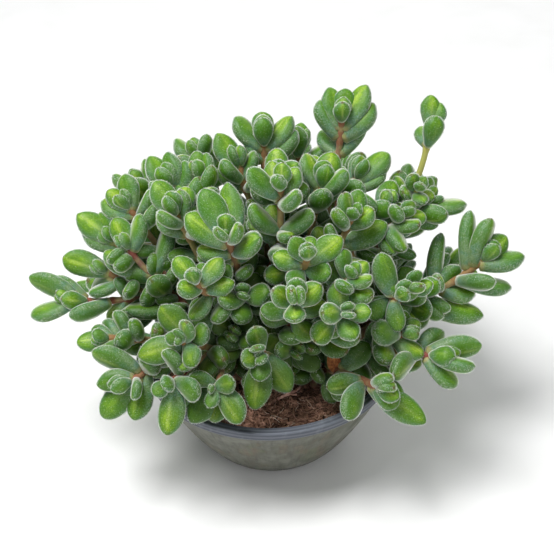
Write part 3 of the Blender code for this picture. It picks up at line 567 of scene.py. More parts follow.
def all_shoots():
    """Every shoot by name, as its tip, its aim and its leaf pairs."""
    shoots = {}
    for name, (tip, aim, pairs) in SHOOTS.items():
        shoots[name] = (Vector(tip), direction(*aim), pairs)
    for number, (name, (azimuth, elevation, reach, leaf)) in enumerate(FAR_SHOOTS.items()):
        tip = DOME_MIDDLE + direction(azimuth, elevation) * reach
        aim = direction(azimuth, FAR_AIM_SHARE * elevation + FAR_AIM_LIFT)
        turn = FAR_FIRST_TURN + FAR_TURN_STEP * number
        pairs = tuple((drop, turn + step, leaf * share, opening)
                      for drop, step, share, opening in FAR_PAIRS)
        shoots[name] = (tip, aim, pairs)
    return shoots


def bend(start, start_aim, end, end_aim):
    """Points of a stem that leaves start along start_aim and reaches end along end_aim."""
    span = (end - start).length
    first = start + start_aim * span * STEM_CURVE
    last = end - end_aim * span * STEM_CURVE
    points = []
    for index in range(STEM_SAMPLES):
        t = index / (STEM_SAMPLES - 1)
        s = 1 - t
        points.append(start * s**3 + first * 3 * s * s * t + last * 3 * s * t * t + end * t**3)
    return points


def stem_feet(shoots):
    """Where each main stem enters the compost, spread so that no two are close."""
    names = [name for name in shoots if name not in SIDE_SHOOTS]
    feet = numpy.array([(shoots[n][0].x, shoots[n][0].y) for n in names]) * FOOT_SPREAD
    for _ in range(FOOT_ROUNDS):
        for i in range(len(feet)):
            away = feet[i] - feet
            gaps = numpy.hypot(away[:, 0], away[:, 1])
            gaps[i] = FOOT_SPACING
            near = gaps < FOOT_SPACING
            push = away[near] / numpy.maximum(gaps[near], LEAST_GAP)[:, None]
            feet[i] += (push * (FOOT_SPACING - gaps[near])[:, None]).sum(axis=0) * FOOT_PUSH
            out = numpy.hypot(*feet[i])
            if out > FOOT_LIMIT:
                feet[i] *= FOOT_LIMIT / out
    level = SOIL_TOP + SOIL_CROWN
    return {name: Vector((foot[0], foot[1], level)) for name, foot in zip(names, feet)}


def stem_paths(shoots):
    """The line of each stem and side shoot, bent clear of the other plants' stems."""
    feet = stem_feet(shoots)
    paths = {}
    for name, foot in feet.items():
        tip, aim, _ = shoots[name]
        lean = Vector((foot.x, foot.y, 0)) / FOOT_LEAN
        paths[name] = bend(foot, (Vector((0, 0, 1)) + lean).normalized(), tip, aim)
    for name, (parent, fork) in SIDE_SHOOTS.items():
        tip, aim, _ = shoots[name]
        index = round(fork * (STEM_SAMPLES - 1))
        along = (paths[parent][index + 1] - paths[parent][index - 1]).normalized()
        paths[name] = bend(paths[parent][index], along, tip, aim)
    names = list(paths)
    line = numpy.array([[tuple(p) for p in paths[n]] for n in names])
    owner = numpy.array([names.index(plant_of(n)) for n in names])
    least = 2 * STEM_FOOT_RADIUS + STEM_CLEARANCE
    order = numpy.arange(STEM_SAMPLES)
    ease = numpy.clip(numpy.minimum(order, order[::-1]) / STEM_FIXED_ENDS, 0, 1)[:, None]
    for _ in range(STEM_ROUNDS):
        moved = line.copy()
        for i in range(len(names)):
            others = line[owner != owner[i]].reshape(-1, 3)
            away = line[i][:, None, :] - others[None, :, :]
            gaps = numpy.linalg.norm(away, axis=2)
            short = numpy.clip(least - gaps, 0, None) / numpy.maximum(gaps, LEAST_GAP)
            moved[i] += ease * (away * short[:, :, None]).sum(axis=1) * STEM_PUSH
        line = moved
    for i, name in enumerate(names):
        if name in SIDE_SHOOTS:
            parent, fork = SIDE_SHOOTS[name]
            shift = line[names.index(parent)][round(fork * (STEM_SAMPLES - 1))] - line[i][0]
            line[i] += shift * numpy.linspace(1, 0, STEM_SAMPLES)[:, None] ** 2
    return {name: [Vector(p) for p in line[i]] for i, name in enumerate(names)}


def point_below_tip(path, drop):
    """The point that lies drop millimetres below the tip along a stem, and the stem's way there."""
    for upper in range(len(path) - 1, 0, -1):
        piece = path[upper] - path[upper - 1]
        if drop <= piece.length or upper == 1:
            return path[upper] - piece.normalized() * drop, piece.normalized()
        drop -= piece.length


def leaf_half_width(t):
    """Half of a leaf's width at t of its length, as a share of its greatest half width."""
    t = min(max(t, 0.0), 1.0)
    if t < LEAF_WIDEST:
        s = t / LEAF_WIDEST
        return LEAF_NECK + (1 - LEAF_NECK) * s * s * (3 - 2 * s)
    return math.sqrt(max(0.0, 1 - ((t - LEAF_WIDEST) / (1 - LEAF_WIDEST)) ** LEAF_TIP_CURVE))


def leaf_breadth(length):
    """Greatest width of a leaf: a long leaf is the slimmer one."""
    return length * (LEAF_BREADTH - LEAF_BREADTH_LOSS * (length - LEAF_USUAL))


def leaf_template():
    """A small ball's points as share of the length and angle round it, and its faces."""
    ball = bmesh.new()
    bmesh.ops.create_uvsphere(ball, u_segments=LEAF_SIDES, v_segments=LEAF_RINGS + 1, radius=1.0)
    bmesh.ops.triangulate(ball, faces=ball.faces)
    points = []
    for vertex in ball.verts:
        place = vertex.co
        share = math.acos(max(-1.0, min(1.0, place.z))) / math.pi
        points.append((share, math.atan2(place.y, place.x)))
    faces = [tuple(v.index for v in face.verts) for face in ball.faces]
    ball.free()
    return points, faces


def leaf_points(leaf, template, grow=0.0):
    """A leaf's points in millimetres, swollen by grow all round."""
    length = leaf["length"] + 2 * grow
    half_width = leaf_breadth(leaf["length"]) / 2 + grow
    half_depth = leaf_breadth(leaf["length"]) * LEAF_THICKNESS / 2 + grow
    corner = math.cos(math.pi / (2 * LEAF_SIDES))
    points = []
    for share, angle in template:
        t = LEAF_STATIONS[round(share * (LEAF_RINGS + 1))]
        inside = 0.0 < t < 1.0
        width = half_width * leaf_half_width(t) if inside else 0.0
        fullness = LEAF_EDGE_DEPTH + (1 - LEAF_EDGE_DEPTH) * leaf_half_width(t)
        depth = half_depth * fullness if inside else 0.0
        turn = angle - math.pi / 2
        side = width * math.cos(turn) / corner
        lift = depth * math.sin(turn) * (LEAF_TOP_SHARE if math.sin(turn) > 0 else 1.0)
        rise = LEAF_RISE * length * t * t
        along = length * t if t > 0 else -LEAF_ROOT
        middle = leaf["root"] + leaf["way"] * along
        points.append(middle + leaf["side"] * side + leaf["up"] * (lift + rise))
    return points


def plant_of(name):
    """The main stem that a shoot belongs to, which is itself where it is no side shoot."""
    return SIDE_SHOOTS.get(name, (name,))[0]


def make_leaf(path, aim_drop, turn, length, opening):
    """A leaf's frame: its root on the stem's middle line, its way out, its side and its face."""
    root, way_up = point_below_tip(path, aim_drop)
    over = (VIEW_UP - way_up * VIEW_UP.dot(way_up)).normalized()
    across = over.cross(way_up)
    angle, tilt = math.radians(turn), math.radians(opening)
    outward = over * math.cos(angle) + across * math.sin(angle)
    way = (way_up * math.cos(tilt) + outward * math.sin(tilt)).normalized()
    face = (way_up * math.sin(tilt) - outward * math.cos(tilt)).normalized()
    leaf = {"root": root, "way": way, "up": face, "side": way.cross(face)}
    leaf["length"] = length + STEM_TIP_RADIUS
    return leaf


def tree_of(points, faces):
    """A search tree over a closed mesh."""
    return BVHTree.FromPolygons([tuple(p) for p in points], faces)


def stem_solid_points(path, start, end):
    """Rough tube round a stem for the clearance test."""
    points = []
    for index, point in enumerate(path):
        ahead = path[min(index + 1, len(path) - 1)] - path[max(index - 1, 0)]
        side = ahead.cross(TEST_TUBE_SIDE).normalized()
        other = ahead.normalized().cross(side)
        radius = start + (end - start) * index / (len(path) - 1)
        for k in range(TEST_TUBE_SIDES):
            angle = 2 * math.pi * k / TEST_TUBE_SIDES
            points.append(point + side * math.cos(angle) * radius
                          + other * math.sin(angle) * radius)
    return points, ring_faces(0, len(path), TEST_TUBE_SIDES)


def box_of(points):
    """Lowest and highest corner of some points."""
    array = numpy.array([tuple(p) for p in points])
    return array.min(axis=0), array.max(axis=0)


def turn_and_opening(way_up, reach):
    """The turn and the opening of a leaf that reaches along a line, on a stem that grows way_up."""
    over = (VIEW_UP - way_up * VIEW_UP.dot(way_up)).normalized()
    across = over.cross(way_up)
    way = reach.normalized()
    turn = math.degrees(math.atan2(way.dot(across), way.dot(over)))
    opening = math.degrees(math.acos(max(-1.0, min(1.0, way.dot(way_up)))))
    return turn, opening + math.degrees(math.atan(LEAF_RISE))


def shown_wishes(name, path):
    """The shown leaves of a shoot: drop, turn, length and opening of each."""
    wishes = []
    for drop, right, above, length, nearer in SHOWN_LEAVES.get(name, ()):
        _, way_up = point_below_tip(path, drop)
        depth = math.sqrt(max(0.0, (length + STEM_TIP_RADIUS) ** 2 - right * right - above * above))
        reach = VIEW_RIGHT * right + VIEW_UP * above + VIEW_NEAR * depth * nearer
        turn, opening = turn_and_opening(way_up, reach)
        wishes.append((drop, turn, length, opening))
    return wishes


def pair_wishes(pairs, draw):
    """The leaves of a shoot's pairs: drop, turn, length and opening of each, a little uneven."""
    wishes = []
    for drop, turn, length, opening in pairs:
        turns = turn if isinstance(turn, tuple) else (turn, turn + 180)
        lengths = length if isinstance(length, tuple) else (length, length)
        for half in (0, 1):
            turned = turns[half] + draw.uniform(-TURN_DRAW, TURN_DRAW)
            opened = opening + draw.uniform(-OPENING_DRAW, OPENING_DRAW)
            longer = draw.uniform(1 - LENGTH_DRAW, 1 + LENGTH_DRAW)
            wishes.append((drop, turned, lengths[half] * longer, opened))
    return wishes


class Room:
    """Stems and leaves that have been placed, for finding out whether one more leaf has room."""

    def __init__(self):
        self.template, self.faces = leaf_template()
        self.blade_faces = [face for face in self.faces
                            if min(self.template[i][0] for i in face) > BLADE_START]
        self.boxes = numpy.empty((MOST_PLACED, 6))
        self.things = []

    def add(self, plant, pair, box, whole, blade):
        """Keep one thing's box and its search trees."""
        self.boxes[len(self.things)] = (*box[0], *box[1])
        self.things.append((plant, pair, whole, blade))

    def is_clear(self, plant, pair, box, whole, blade):
        """True where a leaf touches no other plant, and no blade of its own plant."""
        boxes = self.boxes[:len(self.things)]
        near = ((boxes[:, :3] <= box[1]) & (boxes[:, 3:] >= box[0])).all(axis=1)
        for index in numpy.flatnonzero(near):
            other_plant, other_pair, other_whole, other_blade = self.things[index]
            if other_plant != plant:
                if whole.overlap(other_whole):
                    return False
            elif other_pair is not None and other_pair != pair and blade.overlap(other_blade):
                return False
        return True


def lay_out_leaves(shoots, paths, room):
    """The grown leaves, turned, opened or shortened where they would touch another stem's parts."""
    for name, path in paths.items():
        points, tube_faces = stem_solid_points(path, STEM_FOOT_RADIUS + GAP, STEM_TIP_RADIUS + GAP)
        room.add(plant_of(name), None, box_of(points), tree_of(points, tube_faces), None)
    draw = random.Random(LEAF_SEED)
    wishes = [(name, wish) for name in shoots for wish in shown_wishes(name, paths[name])]
    for name, (_, _, pairs) in shoots.items():
        wishes += [(name, wish) for wish in pair_wishes(pairs, draw)]
    leaves = []
    for name, (drop, turn, length, opening) in wishes:
        leaf = fit_leaf(room, name, paths[name], drop, (turn, length, opening))
        if leaf is not None:
            leaves.append(leaf)
    return leaves


def fit_leaf(room, name, path, drop, wish):
    """The leaf nearest to the wished one that is clear of all that is placed, or None."""
    turn, length, opening = wish
    plant, pair = plant_of(name), (name, drop)
    for shorter, open_change, turn_change in itertools.product(
            LENGTH_CHANGES, OPENING_CHANGES, TURN_CHANGES):
        leaf = make_leaf(path, drop, turn + turn_change, length * shorter, opening + open_change)
        points = leaf_points(leaf, room.template, GAP * FIT_GAP_SHARE)
        box = box_of(points)
        if box[0][2] < POT_HEIGHT + SOIL_CLEARANCE and not over_rim(points):
            continue
        whole = tree_of(points, room.faces)
        blade = tree_of(points, room.blade_faces)
        if room.is_clear(plant, pair, box, whole, blade):
            room.add(plant, pair, box, whole, blade)
            leaf.update(shoot=name, plant=plant, level=drop, young=0.0)
            return leaf
    return None


def over_rim(points):
    """True where no point dips into the compost or the pot's rim."""
    outer = POT_RIM_RADIUS + RIM_CLEARANCE
    inner = POT_RIM_RADIUS - POT_LIP_WIDTH - RIM_CLEARANCE
    for point in points:
        out = math.hypot(point.x, point.y)
        if out < outer and point.z < SOIL_TOP + SOIL_CROWN + SOIL_CLEARANCE:
            return False
        if inner < out < outer and point.z < POT_HEIGHT + SOIL_CLEARANCE:
            return False
    return True


def linear(text):
    """Linear colour with alpha from an sRGB hex value such as 7DB83A."""
    values = []
    for start in (0, 2, 4):
        value = int(text[start:start + 2], 16) / 255
        values.append(value / 12.92 if value <= 0.04045 else ((value + 0.055) / 1.055) ** 2.4)
    return (*values, 1.0)


def feed(tree, node, inputs):
    """Give a node's inputs their values, or links from other nodes."""
    for key, value in inputs.items():
        if isinstance(value, bpy.types.NodeSocket):
            tree.links.new(value, node.inputs[key])
        else:
            node.inputs[key].default_value = value


def add_node(tree, kind, inputs=None, **settings):
    """One shader node with its settings, and values or links for its inputs."""
    node = tree.nodes.new(kind)
    for key, value in settings.items():
        setattr(node, key, value)
    feed(tree, node, inputs or {})
    return node


def share_of(tree, *steps):
    """How much of a finish shows: the product of its steps.

    A step is a number, or a number with the two values between which it goes softly from 0 to 1,
    or from and to the two shares that follow them.
    """
    share = None
    for step in steps:
        if isinstance(step, tuple):
            keys = ("Value", "From Min", "From Max", "To Min", "To Max")
            soft = add_node(tree, "ShaderNodeMapRange", dict(zip(keys, step)),
                            interpolation_type='SMOOTHSTEP')
            step = soft.outputs["Result"]
        if share is None:
            share = step
        else:
            both = {0: share, 1: step}
            share = add_node(tree, "ShaderNodeMath", both, operation='MULTIPLY').outputs[0]
    return share


def coated(tree, colour, *coats):
    """A colour under coats, each laid on the ones before it: its colour, then its share's steps."""
    for coat, *steps in coats:
        inputs = {0: share_of(tree, *steps), 6: colour, 7: coat}
        colour = add_node(tree, "ShaderNodeMix", inputs, data_type='RGBA').outputs[2]
    return colour


def grains(tree, *patterns, place=None):
    """Noise patterns, each from the width of its blotches in millimetres, detail and roughness."""
    place = place or add_node(tree, "ShaderNodeTexCoord").outputs["Object"]
    made = []
    for size_mm, detail, roughness in patterns:
        inputs = {"Vector": place, "Scale": 1.0 / (size_mm * MM * 2),
                  "Detail": detail, "Roughness": roughness}
        made.append(add_node(tree, "ShaderNodeTexNoise", inputs).outputs["Fac"])
    return made


def new_material(name):
    """An empty node material and its tree."""
    made = bpy.data.materials.new(name)
    made.use_nodes = True
    return made, made.node_tree


def finish_material(made, finish, relief=None, strength=0.3, depth_mm=0.2):
    """Give a material's shader its colour and finish, and the relief of a height pattern."""
    tree = made.node_tree
    if relief is not None:
        inputs = {"Height": relief, "Strength": strength, "Distance": depth_mm * MM}
        finish["Normal"] = add_node(tree, "ShaderNodeBump", inputs).outputs["Normal"]
    feed(tree, tree.nodes["Principled BSDF"], finish)
    return made


def leaf_skin(looks):
    """Crassula leaf: juicy green flesh under short felt.

    Both faces have a clear yellow-green window towards the tip, broken up by lengthwise fibres,
    with a pale line down the middle; painted light makes the window lighter where the face points
    to the sky.
    Grey and bluish felt covers the foot and the sides in small flecks. A painted sheen makes it
    white where it is seen edge-on, and painted glints of single hairs show on the faces. Painted
    shade darkens leaves deep inside the plant and dims their felt and sheen. Some tips are scorched
    brown.
    """
    made, tree = new_material("felted crassula leaf")
    along, across, upper, tone, shade, young = (
        add_node(tree, "ShaderNodeAttribute", attribute_name=key).outputs["Fac"]
        for key in POINT_NUMBERS)
    off_middle = add_node(tree, "ShaderNodeMath", {0: across}, operation='ABSOLUTE').outputs[0]
    facing = add_node(tree, "ShaderNodeNewGeometry").outputs["Normal"]
    # How far each face points to the sky, for the painted light on the window
    skyward = add_node(tree, "ShaderNodeSeparateXYZ", {"Vector": facing}).outputs["Z"]
    # How nearly edge-on each face is seen, for the painted sheen
    edge_on = add_node(tree, "ShaderNodeLayerWeight", {"Blend": 0.5}).outputs["Facing"]
    blotch, fleck = grains(tree, (2.4, 3.0, 0.5), (0.36, 2.0, 0.7))
    # Fibres run along the leaf, so their noise is drawn out that way and moved on for each leaf
    leaf_place = add_node(tree, "ShaderNodeCombineXYZ",
                          {"X": across, "Y": along, "Z": tone}).outputs[0]
    drawn_out = add_node(tree, "ShaderNodeVectorMath", {0: leaf_place, 1: FIBRE_PLACE},
                         operation='MULTIPLY').outputs[0]
    pattern = {"Vector": drawn_out, "Scale": 1.0, "Detail": 2.0, "Roughness": 0.6}
    fibre = add_node(tree, "ShaderNodeTexNoise", pattern).outputs["Fac"]
    flesh = coated(tree, looks.leaf_cool, (looks.leaf_green, tone))
    glow = coated(tree, looks.leaf_window, (looks.leaf_window_warm, tone))
    skin = coated(
        tree, flesh,
        (glow, (along, 0.22, 0.74), (along, 1.0, 0.90, 0.5, 1.0), (off_middle, 0.90, 0.10),
         (tone, 0.05, 0.75, 0.45, 1.0), (upper, -1.0, 1.0, 0.7, 1.0),
         # Painted light: the window is lighter where the face points to the sky
         (skyward, -0.30, 0.75, 0.15, 1.0), (blotch, 0.34, 0.62, 0.35, 1.05),
         (fibre, 0.36, 0.62, 0.40, 1.10)),
        (looks.leaf_streak, (off_middle, 0.22, 0.02), (along, 0.25, 0.5), (along, 0.96, 0.75),
         (tone, 0.35, 0.7, 0.1, 0.9), 0.5),
        (looks.leaf_shade_and_fleck, (fleck, 0.50, 0.30, 0.0, 0.45)),
        # Painted shade: leaves deep inside the plant are darkened
        (looks.leaf_shade_and_fleck, shade, 0.8))
    felt = share_of(tree, (off_middle, 0.60, 1.0, 0.0, 0.45))
    for more in (share_of(tree, (along, 0.66, 0.16, 0.0, 0.9)), share_of(tree, young, 0.2)):
        felt = add_node(tree, "ShaderNodeMath", {0: felt, 1: more}, operation='ADD').outputs[0]
    flecked = {0: felt, 1: share_of(tree, (fleck, 0.34, 0.64, 0.28, 1.22))}
    felt = add_node(tree, "ShaderNodeMath", flecked,
                    operation='MULTIPLY', use_clamp=True).outputs[0]
    downy = coated(tree, looks.leaf_felt, (looks.leaf_felt_cool, (blotch, 0.42, 0.62)))
    # Painted sheen where the felt is seen edge-on, and painted glints of single hairs
    sheen_and_glints = {0: share_of(tree, (edge_on, 0.34, 0.86), (edge_on, 0.44, 0.92, 0.1, 1.0),
                          (fleck, 0.3, 0.6, 0.55, 1.0)),
              1: share_of(tree, (fleck, 0.52, 0.74, 0.0, 0.15))}
    painted_sheen_and_glints = add_node(tree, "ShaderNodeMath", sheen_and_glints, operation='MAXIMUM').outputs[0]
    colour = coated(
        tree, skin,
        # Felt, dimmed by the painted shade of leaves deep inside the plant
        (downy, felt, (shade, 0.2, 1.0, 1.0, 0.4)),
        (looks.stem_ring, (along, 0.16, 0.06, 0.0, 0.7)),
        # Painted sheen and glints, dimmed by the painted shade deep inside the plant
        (looks.hair_and_sheen_white, painted_sheen_and_glints, (shade, 0.1, 0.9, 1.0, 0.25)),
        (looks.leaf_tip, (along, 0.965, 0.995), (tone, 0.50, 0.80, 0.0, 0.8)))
    finish = {"Base Color": colour, "Roughness": share_of(tree, (fleck, 0.3, 0.7, 0.34, 0.58)),
              "IOR": 1.42, "Specular IOR Level": 0.45, "Subsurface Weight": 0.25,
              "Subsurface Radius": (0.6, 1.0, 0.15), "Subsurface Scale": 2.5 * MM,
              "Sheen Weight": 0.14, "Sheen Roughness": 0.30, "Sheen Tint": linear("DDE8D4")}
    return finish_material(made, finish, fleck, 0.6, 0.2)


def leaf_hair(looks):
    """Short white leaf hairs, drawn several times thicker than life so that they show."""
    made, tree = new_material("white leaf hair")
    along = add_node(tree, "ShaderNodeAttribute", attribute_name="along").outputs["Fac"]
    colour = coated(tree, looks.hair_root, (looks.hair_and_sheen_white, along))
    return finish_material(made, {"Base Color": colour, "Roughness": 0.7,
                                  "Subsurface Weight": 0.0, "Specular IOR Level": 0.2})


def stem_skin(looks):
    """Half-woody stem: ochre to pinkish brown bark under a little felt, red where leaves grow."""
    made, tree = new_material("half-woody stem")
    ring, fresh = (add_node(tree, "ShaderNodeAttribute", attribute_name=key).outputs["Fac"]
                   for key in ("tone", "young"))
    blotch, fine = grains(tree, (2.2, 3.0, 0.5), (0.5, 3.0, 0.65))
    bark = coated(
        tree, looks.stem_brown,
        (looks.stem_ochre, (blotch, 0.40, 0.62)),
        (looks.stem_red, (ring, 0.1, 0.9)),
        (looks.stem_fresh, fresh),
        (looks.stem_felt, (fine, 0.55, 0.80, 0.0, 0.45)))
    finish = {"Base Color": bark, "Roughness": 0.75, "Sheen Weight": 0.15, "Sheen Roughness": 0.4}
    return finish_material(made, finish, fine, 0.5, 0.3)


def pot_plastic(looks):
    """Moulded polypropylene: slate blue-grey turned lines on the rim.

    The wall is dulled by warm dust, dark run marks, and a thin film of algae and washed-out earth.
    It is darker towards the bottom. A painted shadow darkens the wall under the lip, and a painted
    highlight runs along the lip's lower edge.
    """
    made, tree = new_material("moulded pot plastic")
    place = add_node(tree, "ShaderNodeTexCoord").outputs["Object"]
    height = add_node(tree, "ShaderNodeSeparateXYZ", {"Vector": place}).outputs["Z"]
    level = add_node(tree, "ShaderNodeVectorMath", {0: place, 1: (1, 1, 0)},
                     operation='MULTIPLY').outputs[0]
    out = add_node(tree, "ShaderNodeVectorMath", {0: level}, operation='LENGTH').outputs["Value"]
    heading = add_node(tree, "ShaderNodeVectorMath", {0: level}, operation='NORMALIZE').outputs[0]
    # Run marks hang straight down the wall, so their noise is drawn out four times that way
    around = add_node(tree, "ShaderNodeVectorMath", {0: heading, "Scale": POT_RIM_RADIUS * MM},
                      operation='SCALE').outputs[0]
    drift = add_node(tree, "ShaderNodeVectorMath", {0: place, 1: (0, 0, 0.25)},
                     operation='MULTIPLY').outputs[0]
    downward = add_node(tree, "ShaderNodeVectorMath", {0: around, 1: drift},
                        operation='ADD').outputs[0]
    streaks, drips = grains(tree, (1.1, 5.0, 0.7), (2.6, 2.0, 0.5), place=downward)
    runs, dust, specks = grains(tree, (9.0, 4.0, 0.65), (5.5, 4.0, 0.62), (0.6, 3.0, 0.7))
    top = POT_HEIGHT * MM
    film = coated(tree, looks.algae, (looks.earth, (drips, 0.40, 0.60)))
    wall = coated(
        tree, looks.plastic_dark_and_lip_shadow,
        (looks.plastic_grey, (streaks, 0.30, 0.60, 0.4, 1.0)),
        (looks.dust, (runs, 0.42, 0.62, 0.0, 0.85)),
        (looks.dust, (specks, 0.60, 0.76, 0.0, 0.3)),
        (looks.plastic_dark_and_lip_shadow, (drips, 0.50, 0.70, 0.0, 0.42)),
        (film, (runs, 0.34, 0.52, 0.4, 0.0)),
        # Darker towards the bottom of the wall
        (looks.plastic_dark_and_lip_shadow, (height, 0.0, 20.0 * MM, 0.45, 0.0)),
        # Painted shadow under the lip
        (looks.plastic_dark_and_lip_shadow, (height, top - 10.0 * MM, top - 6.5 * MM, 0.0, 0.75)))
    reach = add_node(tree, "ShaderNodeMath", {0: out, 1: height}, operation='ADD').outputs[0]
    turns = {0: reach, 1: 2 * math.pi / (RIM_LINE_SPACING * MM)}
    phase = add_node(tree, "ShaderNodeMath", turns, operation='MULTIPLY').outputs[0]
    lines = add_node(tree, "ShaderNodeMath", {0: phase}, operation='SINE').outputs[0]
    rim = coated(
        tree, looks.rim_dark,
        (looks.rim_slate, (lines, -1.0, 1.0, 0.0, 0.9)),
        (looks.rim_wear_and_highlight, (dust, 0.5, 0.72, 0.0, 0.4)),
        # Painted highlight along the lip's lower edge
        (looks.rim_wear_and_highlight, (height, top - 4.6 * MM, top - 5.6 * MM, 0.0, 0.8)))
    colour = coated(tree, wall, (rim, (height, top - 6.0 * MM, top - 5.4 * MM)))
    finish = {"Base Color": colour, "Roughness": share_of(tree, (dust, 0.3, 0.7, 0.42, 0.62)),
              "IOR": 1.49, "Specular IOR Level": 0.4}
    return finish_material(made, finish, streaks, 0.25, 0.25)


def coir_bed(looks):
    """Coir compost: reddish brown crumbs, with painted shade in the gaps between them."""
    made, tree = new_material("coir crumb")
    crumbs, patches = grains(tree, (1.3, 5.0, 0.7), (7.0, 3.0, 0.5))
    colour = coated(
        # Painted shade in the gaps between the crumbs, where the relief is low
        tree, looks.coir_dark_and_gap_shade,
        (looks.coir_brown, (crumbs, 0.36, 0.56)),
        (looks.coir_red, (crumbs, 0.54, 0.70, 0.0, 0.7)),
        (looks.coir_red, (patches, 0.45, 0.66, 0.0, 0.45)))
    finish = {"Base Color": colour, "Roughness": 0.92, "Specular IOR Level": 0.15}
    return finish_material(made, finish, crumbs, 1.0, 1.6)


def coir_strand(looks):
    """Coir fibre: twisted husk strands, from dark wet brown to dry reddish tan."""
    made, tree = new_material("coir strand")
    tone = add_node(tree, "ShaderNodeAttribute", attribute_name="tone").outputs["Fac"]
    colour = coated(
        tree, looks.coir_dark_and_gap_shade,
        (looks.coir_brown, (tone, 0.0, 0.4)),
        (looks.coir_red, (tone, 0.35, 0.75)),
        (looks.coir_light, (tone, 0.84, 1.0)))
    finish = {"Base Color": colour, "Roughness": 0.85, "Specular IOR Level": 0.2}
    return finish_material(made, finish)


def dry_skin(name, dark, light):
    """Dried plant skin: papery and matt, with painted shade in its folds where its relief is low.
    """
    made, tree = new_material(name)
    folds, = grains(tree, (0.9, 4.0, 0.6))
    # Painted shade in the folds: darker where the relief is low
    colour = coated(tree, dark, (light, (folds, 0.35, 0.65)))
    return finish_material(made, {"Base Color": colour, "Roughness": 0.7}, folds, 0.6, 0.5)


def mesh_piece(name, points, faces, materials, slots=None, numbers=None):
    """A smooth mesh object from points in millimetres, with material slots and point numbers."""
    mesh = bpy.data.meshes.new(name)
    mesh.from_pydata(points, [], faces)
    mesh.transform(Matrix.Scale(MM, 4))
    for material in materials:
        mesh.materials.append(material)
    if slots is not None:
        mesh.polygons.foreach_set("material_index", slots)
    for key, values in (numbers or {}).items():
        layer = mesh.attributes.new(key, 'FLOAT', 'POINT')
        layer.data.foreach_set("value", values)
    mesh.shade_smooth()
    made = bpy.data.objects.new(name, mesh)
    bpy.context.scene.collection.objects.link(made)
    return made


class Growth:
    """Points, faces and the numbers that the leaf materials read, gathered for one piece."""

    def __init__(self):
        self.points, self.faces, self.slots = [], [], []
        self.numbers = {key: [] for key in POINT_NUMBERS}

    def add_points(self, points, **numbers):
        """Add points with their numbers, each one value or one for every point."""
        start = len(self.points)
        self.points.extend(tuple(p) for p in points)
        for key, values in self.numbers.items():
            given = numbers.get(key, 0.0)
            values.extend(given if hasattr(given, "__len__") else [given] * len(points))
        return start

    def add_faces(self, faces, slot):
        """Add faces that use one material slot."""
        self.faces.extend(faces)
        self.slots.extend([slot] * len(faces))

    def piece(self, name, materials):
        """The mesh object of all that was gathered."""
        return mesh_piece(name, self.points, self.faces, materials, self.slots, self.numbers)


def ring_faces(start, rings, around):
    """Quads between rings of points that follow one another."""
    faces = []
    for ring in range(rings - 1):
        for k in range(around):
            a, b = start + ring * around + k, start + ring * around + (k + 1) % around
            faces.append((a, b, b + around, a + around))
    return faces


def closed_faces(start, rings, around):
    """Faces of a closed tube: its rings, then the two poles that are kept after them."""
    foot = start + rings * around
    last = foot - around
    faces = ring_faces(start, rings, around)
    for k in range(around):
        after = (k + 1) % around
        faces.append((foot, start + after, start + k))
        faces.append((foot + 1, last + k, last + after))
    return faces


def blade_half_width(t, widest=0.60, neck=0.36, rise=1.3, tip=2.0, point=0.62):
    """Half width of a fine leaf at t of its length: a narrow foot, a blade and a blunt point."""
    if t < widest:
        return neck + (1 - neck) * math.sin(math.pi / 2 * t / widest) ** rise
    return max(0.0, 1 - ((t - widest) / (1 - widest)) ** tip) ** point


def fine_leaf(growth, leaf, draw, looks):
    """One plump leaf: flat-topped lens sections swept along a gently curled middle line."""
    length = leaf["length"]
    small = length < SMALL_LEAF
    steps = SMALL_LEAF_STEPS if small else LEAF_STEPS
    around = SMALL_LEAF_AROUND if small else LEAF_AROUND
    half_width = leaf_breadth(length) / 2 * draw.uniform(*LEAF_SLIMNESS)
    half_width *= 1 + LONG_LEAF_GAIN * max(0.0, length - LONG_LEAF)
    half_width -= BROAD_LEAF_LOSS * max(0.0, half_width - BROAD_LEAF)
    youth = 1.0 - YOUNG_LEAF_SLIMNESS * leaf["young"]
    half_depth = half_width * draw.uniform(*LEAF_FULLNESS) * youth
    shape = [draw.uniform(*span) for span in BLADE_SHAPE]
    roll = math.radians(draw.gauss(0, LEAF_ROLL))
    side = leaf["side"] * math.cos(roll) + leaf["up"] * math.sin(roll)
    up = leaf["up"] * math.cos(roll) - leaf["side"] * math.sin(roll)
    curl = draw.uniform(*LEAF_CURL) + LEAF_RISE
    sway = draw.uniform(-LEAF_SWAY, LEAF_SWAY)
    points, along, across, upper = [], [], [], []
    for step in range(steps):
        t = math.sin(math.pi / 2 * (step + LEAF_FIRST_STEP) / steps) ** LEAF_STEP_EASE
        share = blade_half_width(t, *shape)
        width = half_width * share
        fullness = SECTION_BASE + SECTION_GAIN * share ** SECTION_POWER
        if t > TIP_START:
            fullness *= math.sqrt(max(TIP_LEAST, 1 - ((t - TIP_START) / TIP_SPAN) ** 2))
        depth = half_depth * fullness
        bend_up, bend_aside = length * curl * t * t, length * sway * t * t
        middle = leaf["root"] + leaf["way"] * (length * t) + up * bend_up + side * bend_aside
        for k in range(around):
            angle = -2 * math.pi * k / around
            c, s = math.cos(angle), math.sin(angle)
            lift = depth * math.copysign(abs(s) ** FACE_CROWN, s)
            lift *= UPPER_DEPTH if s > 0 else LOWER_DEPTH
            if s > 0:
                lift -= depth * GROOVE_DEPTH * t * math.exp(-(c / GROOVE_WIDTH) ** 2)
            points.append(middle + side * (width * c) + up * lift)
            along.append(t)
            across.append(c)
            upper.append(s)
    rings = list(points)
    points.append(leaf["root"])
    points.append(leaf["root"] + leaf["way"] * length + up * (length * curl)
                  + side * (length * sway))
    start = growth.add_points(points, along=along + [0.0, 1.0], across=across + [0.0, 0.0],
                              upper=upper + [0.0, 0.0], tone=leaf["tone"], shade=leaf["shade"],
                              young=leaf["young"])
    growth.add_faces(closed_faces(start, steps, around), SKIN_SLOT)
    add_leaf_hairs(growth, leaf, rings, steps, around, draw, looks)


